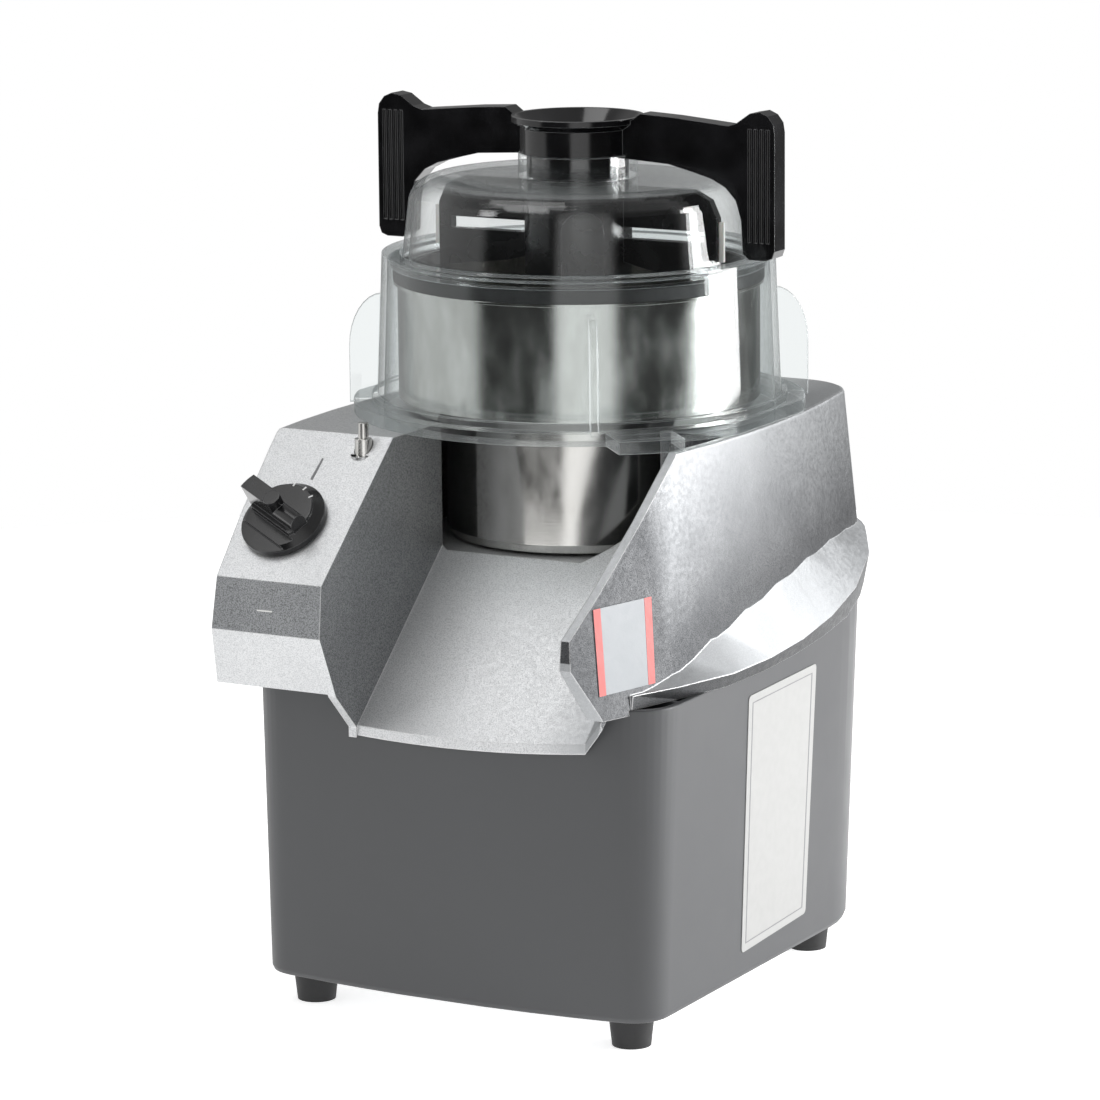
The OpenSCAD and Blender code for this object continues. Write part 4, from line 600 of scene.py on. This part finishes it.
def marks_tree():
    """A Geometry Nodes tree: a row of small bars on an arc, each pointing at its centre."""
    tree = bpy.data.node_groups.new("marks_on_arc", "GeometryNodeTree")
    face = tree.interface
    face.new_socket("Geometry", in_out="INPUT", socket_type="NodeSocketGeometry")
    for name, kind in (
        ("Count", "NodeSocketInt"),
        ("Radius", "NodeSocketFloat"),
        ("First angle", "NodeSocketFloat"),
        ("Step", "NodeSocketFloat"),
        ("Bar length", "NodeSocketFloat"),
        ("Bar width", "NodeSocketFloat"),
        ("Bar height", "NodeSocketFloat"),
        ("Finish", "NodeSocketMaterial"),
    ):
        face.new_socket(name, in_out="INPUT", socket_type=kind)
    face.new_socket("Geometry", in_out="OUTPUT", socket_type="NodeSocketGeometry")
    given = add(tree, "NodeGroupInput").outputs
    index = add(tree, "GeometryNodeInputIndex").outputs[0]
    turn = add(tree, MATH, {0: index, 1: given["Step"]}, **PRODUCT)
    angle = add(tree, MATH, {0: turn, 1: given["First angle"]}, operation="ADD")
    spin = add(tree, "ShaderNodeCombineXYZ", {"Z": angle})
    out = add(tree, "ShaderNodeCombineXYZ", {"X": given["Radius"]})
    turned = {"Vector": out, "Rotation": spin}
    place = add(tree, "ShaderNodeVectorRotate", turned, rotation_type="EULER_XYZ")
    line = add(tree, "GeometryNodeMeshLine", {"Count": given["Count"]})
    points = add(tree, "GeometryNodeSetPosition", {"Geometry": line, "Position": place})
    sides = {"X": given["Bar length"], "Y": given["Bar width"], "Z": given["Bar height"]}
    bar = add(tree, "GeometryNodeMeshCube", {"Size": add(tree, "ShaderNodeCombineXYZ", sides)})
    laid = {"Points": points, "Instance": bar, "Rotation": spin}
    bars = add(tree, "GeometryNodeInstanceOnPoints", laid)
    real = add(tree, "GeometryNodeRealizeInstances", {"Geometry": bars})
    finished = {"Geometry": real, "Material": given["Finish"]}
    add(tree, "NodeGroupOutput", {0: add(tree, "GeometryNodeSetMaterial", finished)})
    return tree


def grown(tree, name, values, matrix):
    """Runs a tree on an empty mesh with its inputs set and keeps what it makes as a mesh."""
    seed = bpy.data.objects.new(name + "_seed", bpy.data.meshes.new(name + "_seed"))
    bpy.context.scene.collection.objects.link(seed)
    modifier = seed.modifiers.new(name, "NODES")
    modifier.node_group = tree
    keys = {i.name: i.identifier for i in tree.interface.items_tree if i.in_out == "INPUT"}
    for label, value in values.items():
        modifier[keys[label]] = value
    seen = seed.evaluated_get(bpy.context.evaluated_depsgraph_get())
    mesh = bpy.data.meshes.new_from_object(seen)
    bpy.data.objects.remove(seed)
    mesh.name = name
    mesh.transform(matrix)
    piece = bpy.data.objects.new(name, mesh)
    bpy.context.scene.collection.objects.link(piece)
    return piece


# Settings


class FinishSettings(bpy.types.PropertyGroup):
    paint: FloatVectorProperty(
        name="Housing paint",
        description="Colour of the baked paint on the motor housing",
        subtype="COLOR",
        size=4,
        min=0.0,
        max=1.0,
        default=srgb("#464749"),
    )
    crease: FloatProperty(
        name="Crease angle",
        description="Edges that turn more than this stay sharp on the casting and housing",
        subtype="ANGLE",
        default=math.radians(20.0),
    )


class PlateSettings(bpy.types.PropertyGroup):
    thickness: FloatProperty(
        name="Plate thickness",
        description="Thickness of the printed plates",
        unit="LENGTH",
        default=0.35 * MM,
    )
    lift: FloatProperty(
        name="Glue line",
        description="Gap between a plate and what it is glued to",
        unit="LENGTH",
        default=0.05 * MM,
    )
    plate: FloatVectorProperty(
        name="Side plate",
        description="Colour of the bare plate on the housing's side",
        subtype="COLOR",
        size=4,
        min=0.0,
        max=1.0,
        default=srgb("#a2a2a1"),
    )
    sign: FloatVectorProperty(
        name="Wall plate",
        description="Colour of the bare plate on the casting's side wall",
        subtype="COLOR",
        size=4,
        min=0.0,
        max=1.0,
        default=srgb("#8c9094"),
    )
    stripe: FloatVectorProperty(
        name="Stripes",
        description="Colour of the stripes along the wall plate's edges",
        subtype="COLOR",
        size=4,
        min=0.0,
        max=1.0,
        default=srgb("#c4524e"),
    )


class MarkSettings(bpy.types.PropertyGroup):
    count: IntProperty(
        name="Dial marks",
        description="Number of marks on the knob's dial",
        min=1,
        max=12,
        default=3,
    )
    step: FloatProperty(
        name="Mark spacing",
        description="Angle between two marks",
        subtype="ANGLE",
        default=math.radians(24.0),
    )
    length: FloatProperty(
        name="Mark length",
        description="Length of one mark",
        unit="LENGTH",
        default=2.4 * MM,
    )


class StageSettings(bpy.types.PropertyGroup):
    floor: FloatProperty(
        name="Floor",
        description="Width of the pale round floor",
        unit="LENGTH",
        default=2.6,
    )
    top_light: FloatProperty(
        name="Top light",
        description="Power of the large light above",
        default=14.0,
    )
    side_light: FloatProperty(
        name="Side light",
        description="Power of the light on the right, towards the back",
        default=60.0,
    )
    front_light: FloatProperty(
        name="Front light",
        description="Power of the narrow light at the front left",
        default=8.0,
    )
    ambient: FloatProperty(
        name="Room light",
        description="Strength of the soft light from all round",
        default=0.8,
    )


# Operators

FLOOR_SIDES = 96
AIM_HEIGHT = 0.25
SENSOR_MM = 36.0
ROOM_CEILING = (0.5, 0.5, 0.5, 1.0)
# How bright the room is in each direction, in degrees: soft windows with dark gaps between
ROOM_LEVELS = (
    (-180, 1.0),
    (-133, 1.0),
    (-123, 0.05),
    (-80, 0.06),
    (-72, 1.5),
    (-44, 1.4),
    (-34, 0.07),
    (8, 0.06),
    (18, 1.1),
    (40, 1.2),
    (52, 0.2),
    (140, 0.3),
    (180, 1.0),
)


class StageOperator(bpy.types.Operator):
    """Makes the floor, the lights, the room and the camera"""

    bl_idname = "cutter_mixer.stage"
    bl_label = "Stage"

    def execute(self, context):
        settings = context.scene.mixer_stage
        radius = settings.floor / 2
        turns = [2 * math.pi * k / FLOOR_SIDES for k in range(FLOOR_SIDES)]
        rim = [(radius * math.cos(a), radius * math.sin(a), 0) for a in turns]
        floor = mesh_object("studio_floor", rim, [tuple(range(FLOOR_SIDES))], studio_paper())
        self.room(context, settings.ambient)
        centre = Vector((0.0, BOWL_AXIS_Y, AIM_HEIGHT))
        # Place from the centre, width, height and power
        lamps = (
            ("top_light", (-0.5, -0.7, 1.9), 1.5, 1.2, settings.top_light),
            ("side_light", (1.8, 1.0, 0.45), 0.9, 1.3, settings.side_light),
            ("front_light", (-1.5, -1.9, 1.1), 0.5, 1.1, settings.front_light),
        )
        for name, place, wide, high, power in lamps:
            lamp = bpy.data.lights.new(name, "AREA")
            lamp.shape, lamp.size, lamp.size_y, lamp.energy = "RECTANGLE", wide, high, power
            holder = bpy.data.objects.new(name, lamp)
            holder.location = centre + Vector(place)
            aim = centre - holder.location
            holder.rotation_euler = aim.to_track_quat("-Z", "Y").to_euler()
            context.scene.collection.objects.link(holder)
        lens = bpy.data.cameras.new("photo_camera")
        lens.sensor_width = SENSOR_MM
        lens.lens = VIEW.focal_px / (2 * VIEW.half_px) * lens.sensor_width
        lens.clip_start, lens.clip_end = 0.1, 50.0
        camera = bpy.data.objects.new("photo_camera", lens)
        camera.matrix_world = VIEW.matrix()
        context.scene.collection.objects.link(camera)
        context.scene.camera = camera
        context.scene.view_settings.view_transform = "Standard"
        return {"FINISHED"}

    @staticmethod
    def room(context, strength):
        """A pale room with tall soft windows and darker gaps between, for the steel to show."""
        world = bpy.data.worlds.new("studio_room")
        world.use_nodes = True
        tree = world.node_tree
        tree.nodes.clear()
        way = add(tree, "ShaderNodeTexCoord").outputs["Generated"]
        parts = add(tree, "ShaderNodeSeparateXYZ", {0: way}).outputs
        angle = add(tree, MATH, {0: parts[1], 1: parts[0]}, operation="ARCTAN2")
        share = add(tree, RANGE, {"Value": angle, "From Min": -math.pi, "From Max": math.pi})
        bands = add(tree, "ShaderNodeValToRGB", {0: share})
        ramp = bands.color_ramp
        ramp.interpolation = "EASE"
        while len(ramp.elements) < len(ROOM_LEVELS):
            ramp.elements.new(0.5)
        for element, (deg, level) in zip(ramp.elements, ROOM_LEVELS):
            element.position = deg / 360 + 0.5
            element.color = (level, level, level, 1.0)
        above = add(tree, RANGE, {"Value": parts[2], "From Min": 0.35, "From Max": 0.75})
        sky = add(tree, MIX, {0: above, 6: bands, 7: ROOM_CEILING}, **COLOUR).outputs[2]
        lit = add(tree, "ShaderNodeBackground", {"Color": sky, "Strength": strength})
        seen = add(tree, "ShaderNodeBackground", {"Color": srgb("#ffffff"), "Strength": 1.0})
        path = add(tree, "ShaderNodeLightPath")
        choice = {0: path.outputs["Is Camera Ray"], 1: lit, 2: seen}
        add(tree, "ShaderNodeOutputWorld", {0: add(tree, "ShaderNodeMixShader", choice)})
        context.scene.world = world


class CastingOperator(bpy.types.Operator):
    """Finishes the cast top with its well, chute and console"""

    bl_idname = "cutter_mixer.casting"
    bl_label = "Cast top"

    def execute(self, context):
        crease = math.degrees(context.scene.mixer_finish.crease)
        alloy = blasted_aluminium()
        smoothed_copy("upper_casting", "cast_top", alloy, "base", crease)
        dress(["casting_screws", "bowl_pins"], ground_stainless())
        dress(["shaft_seal"], moulded_rubber())
        return {"FINISHED"}


class HousingOperator(bpy.types.Operator):
    """Finishes the painted housing, its base, feet and cord inlet"""

    bl_idname = "cutter_mixer.housing"
    bl_label = "Motor housing"

    def execute(self, context):
        settings = context.scene.mixer_finish
        paint = satin_paint(tuple(settings.paint))
        crease = math.degrees(settings.crease)
        smoothed_copy(
            "motor_housing", "painted_housing", paint, "base", crease
        )
        dress(["base_plate", "foot_screws"], ground_stainless())
        feet = ["foot_front_left", "foot_front_right", "foot_rear_left", "foot_rear_right"]
        dress(feet, moulded_rubber())
        dress(
            ["cable_gland", "gland_nut"],
            black_plastic("gland_nylon", "#0e0e0f", 0.35, 0.5, 0.03),
        )
        return {"FINISHED"}


class MotorOperator(bpy.types.Operator):
    """Finishes the motor, its bearings, fan and capacitor"""

    bl_idname = "cutter_mixer.motor"
    bl_label = "Motor"

    def execute(self, context):
        dress(["motor_stator", "motor_rotor"], laminated_iron())
        dress(["stator_windings"], enamelled_copper())
        dress(["upper_end_shield", "lower_end_shield", "start_capacitor"], die_cast_alloy())
        dress(
            ["motor_bolts", "upper_bearing", "lower_bearing", "capacitor_clip", "drive_shaft"],
            ground_stainless(),
        )
        dress(["cooling_fan"], black_plastic("fan_nylon", "#101011", 0.4, 0.55, 0.03))
        return {"FINISHED"}


MARKS_RADIUS = 17.5 * MM
MARK_WIDTH = 0.9 * MM
MARK_HEIGHT = 0.16 * MM
FIRST_MARK = math.radians(38.0)
# The marks' middle lies this far above the dial, so a little of each is inside it
MARK_MIDDLE = 0.06 * MM
# The dial's surface is found by a ray at this angle, from this far outside
DIAL_PROBE = 0.9
PROBE_START = 0.08


class ControlsOperator(bpy.types.Operator):
    """Finishes the knob with its dial marks, the switches and the safety rod"""

    bl_idname = "cutter_mixer.controls"
    bl_label = "Controls"

    def execute(self, context):
        settings = context.scene.mixer_marks
        dress(["switch_knob"], black_plastic("knob_moulding", "#080809", 0.16, 0.28, 0.008))
        nylon = black_plastic("switch_nylon", "#111112", 0.4, 0.5, 0.02)
        dress(["switch_body", "interlock_switch"], nylon)
        dress(["switch_nut", "switch_spindle", "rod_guide", "rod_spring"], ground_stainless())
        dress(["safety_rod"], polished_stainless())
        white = printed_film("dial_print", srgb("#e9e9e9"))
        joint = next(j for j in frame["joints"] if j["name"] == "knob_turn")
        axis = Vector(joint["axis"]).normalized()
        centre = Vector(joint["pos_m"])
        across = Vector((1.0, 0.0, 0.0))
        turned = Matrix((across, axis.cross(across), axis)).transposed()
        level = self.dial_level(centre, axis, turned)
        marks = grown(
            marks_tree(),
            "dial_marks",
            {
                "Count": settings.count,
                "Radius": MARKS_RADIUS,
                "First angle": FIRST_MARK,
                "Step": settings.step,
                "Bar length": settings.length,
                "Bar width": MARK_WIDTH,
                "Bar height": MARK_HEIGHT,
                "Finish": white,
            },
            Matrix.Translation(centre + axis * level) @ turned.to_4x4(),
        )
        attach(marks, "knob")
        return {"FINISHED"}

    @staticmethod
    def dial_level(centre, axis, turned):
        """How far along the knob's axis the marks sit, on the dial's surface near its rim."""
        way = Vector((math.cos(DIAL_PROBE), math.sin(DIAL_PROBE), 0.0))
        probe = centre + turned @ (MARKS_RADIUS * way)
        hit, _, _, _ = surface_of("switch_knob").ray_cast(probe + axis * PROBE_START, -axis)
        if hit is None:
            raise RuntimeError("the dial isn't where its marks go")
        return (hit - centre).dot(axis) + MARK_MIDDLE


class BowlOperator(bpy.types.Operator):
    """Finishes the bowl and the knife"""

    bl_idname = "cutter_mixer.bowl"
    bl_label = "Bowl and knife"

    def execute(self, context):
        dress(["bowl", "bowl_column"], polished_stainless())
        dress(["column_bush"], sintered_bronze())
        dress(["lower_blade", "upper_blade"], ground_stainless())
        dress(
            ["knife_hub", "knife_cap"],
            black_plastic("knife_moulding", "#101011", 0.3, 0.42, 0.03),
        )
        return {"FINISHED"}


class LidOperator(bpy.types.Operator):
    """Finishes the domed lid, its gasket and the guard ring"""

    bl_idname = "cutter_mixer.lid"
    bl_label = "Lid and ring"

    def execute(self, context):
        dress(["lid_dome"], clear_polycarbonate("dome_polycarbonate", "#fafbfb"))
        dress(["guard_ring"], clear_polycarbonate("ring_polycarbonate", "#f8fafa"))
        dress(["lid_gasket"], moulded_rubber())
        return {"FINISHED"}


class ScraperOperator(bpy.types.Operator):
    """Finishes the scraper with its handle"""

    bl_idname = "cutter_mixer.scraper"
    bl_label = "Scraper"

    def execute(self, context):
        gloss = black_plastic("handle_moulding", "#060607", 0.08, 0.16, 0.004)
        dress(["scraper_handle"], gloss)
        dress(["scraper_frame"], black_plastic("frame_moulding", "#0b0b0c", 0.2, 0.32, 0.004))
        dress(["scraper_blades"], white_elastomer())
        return {"FINISHED"}


# Corners, read off the photograph in pixels: top left, top right, bottom right, bottom left
SIDE_PLATE = [(748.6, 696.6), (815.9, 663.0), (804.7, 912.6), (740.9, 953.4)]
WALL_PLATE = [(592.5, 610.0), (650.5, 596.5), (654.6, 683.0), (599.0, 697.0)]
POINTER = [(310.2, 479.2), (312.6, 480.4), (323.8, 458.8), (322.2, 458.0)]
CONSOLE_MARK = [(257.0, 609.6), (272.0, 611.1), (272.0, 612.5), (257.0, 611.0)]
# Lines inside the side plate's rim, by shares of its width and height
BORDER = (
    ("left", (0.055, 0.03, 0.067, 0.97)),
    ("right", (0.933, 0.03, 0.945, 0.97)),
    ("top", (0.067, 0.03, 0.933, 0.034)),
    ("bottom", (0.067, 0.966, 0.933, 0.97)),
)
STRIPES = (("wall_stripe_left", 0.0, 0.12), ("wall_stripe_right", 0.88, 1.0))
# Ink on a plate, by shares of the plate's thickness, and ink on the bare casting
BORDER_SHARE = 0.2
STRIPE_SHARE = 0.3
INK_THICK = 0.06 * MM
INK_LIFT = 0.02 * MM


class PlatesOperator(bpy.types.Operator):
    """Lays the bare plates and the marks on the housing and the cast top"""

    bl_idname = "cutter_mixer.plates"
    bl_label = "Plates"

    def execute(self, context):
        settings = context.scene.mixer_plates
        thick, lift = settings.thickness, settings.lift
        side = printed_film("bare_side_plate", tuple(settings.plate))
        wall = printed_film("bare_wall_plate", tuple(settings.sign))
        stripe = printed_film("stripe_print", tuple(settings.stripe))
        border = printed_film("border_print", srgb("#77787a"))
        scribed = printed_film("scribed_line", srgb("#dededc"))
        # Slot, name, node, corners, thickness, lift, rounding, finish, steps across and down
        plain = (thick, lift, 0.018, side, 14, 22)
        rows = [("steel", "side_plate", "motor_housing", SIDE_PLATE, *plain)]
        for name, part in BORDER:
            where = within(SIDE_PLATE, *part)
            ink = (thick * BORDER_SHARE, lift + thick, 0.002, border, 6, 16)
            rows.append(("housing_paint", "side_border_" + name, "motor_housing", where, *ink))
        plain = (thick, lift, 0.015, wall, 14, 22)
        rows.append(("steel", "wall_plate", "upper_casting", WALL_PLATE, *plain))
        for name, u0, u1 in STRIPES:
            where = within(WALL_PLATE, u0, 0.0, u1, 1.0)
            ink = (thick * STRIPE_SHARE, lift + thick, 0.004, stripe, 4, 22)
            rows.append(("white_flex", name, "upper_casting", where, *ink))
        for name, finish, where in (
            ("panel_pointer", border, POINTER),
            ("console_mark", scribed, CONSOLE_MARK),
        ):
            ink = (INK_THICK, INK_LIFT, 0.02, finish, 3, 6)
            rows.append(("white_flex", name, "upper_casting", where, *ink))
        for slot, *row in rows:
            piece = laid_plate(*row)
            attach(piece, "base")
        return {"FINISHED"}


class MixerPanel(bpy.types.Panel):
    """Lists the settings and the pieces"""

    bl_idname = "VIEW3D_PT_cutter_mixer"
    bl_label = "Cutter mixer"
    bl_space_type = "VIEW_3D"
    bl_region_type = "UI"
    bl_category = "Cutter mixer"

    def draw(self, context):
        for name in SETTINGS:
            group = getattr(context.scene, name)
            box = self.layout.box()
            for key in group.__annotations__:
                box.prop(group, key)
        for operator in OPERATORS:
            self.layout.operator(operator.bl_idname)


SETTINGS = {
    "mixer_finish": FinishSettings,
    "mixer_plates": PlateSettings,
    "mixer_marks": MarkSettings,
    "mixer_stage": StageSettings,
}
OPERATORS = (
    StageOperator,
    HousingOperator,
    CastingOperator,
    MotorOperator,
    ControlsOperator,
    BowlOperator,
    LidOperator,
    ScraperOperator,
    PlatesOperator,
)


def register():
    for kind in (*SETTINGS.values(), *OPERATORS, MixerPanel):
        bpy.utils.register_class(kind)
    for name, kind in SETTINGS.items():
        setattr(bpy.types.Scene, name, PointerProperty(type=kind))


def unregister():
    for name in SETTINGS:
        delattr(bpy.types.Scene, name)
    for kind in (MixerPanel, *reversed(OPERATORS), *SETTINGS.values()):
        bpy.utils.unregister_class(kind)


def main():
    register()
    for operator in OPERATORS:
        group, name = operator.bl_idname.split(".")
        getattr(getattr(bpy.ops, group), name)()


if __name__ == "__main__":
    main()
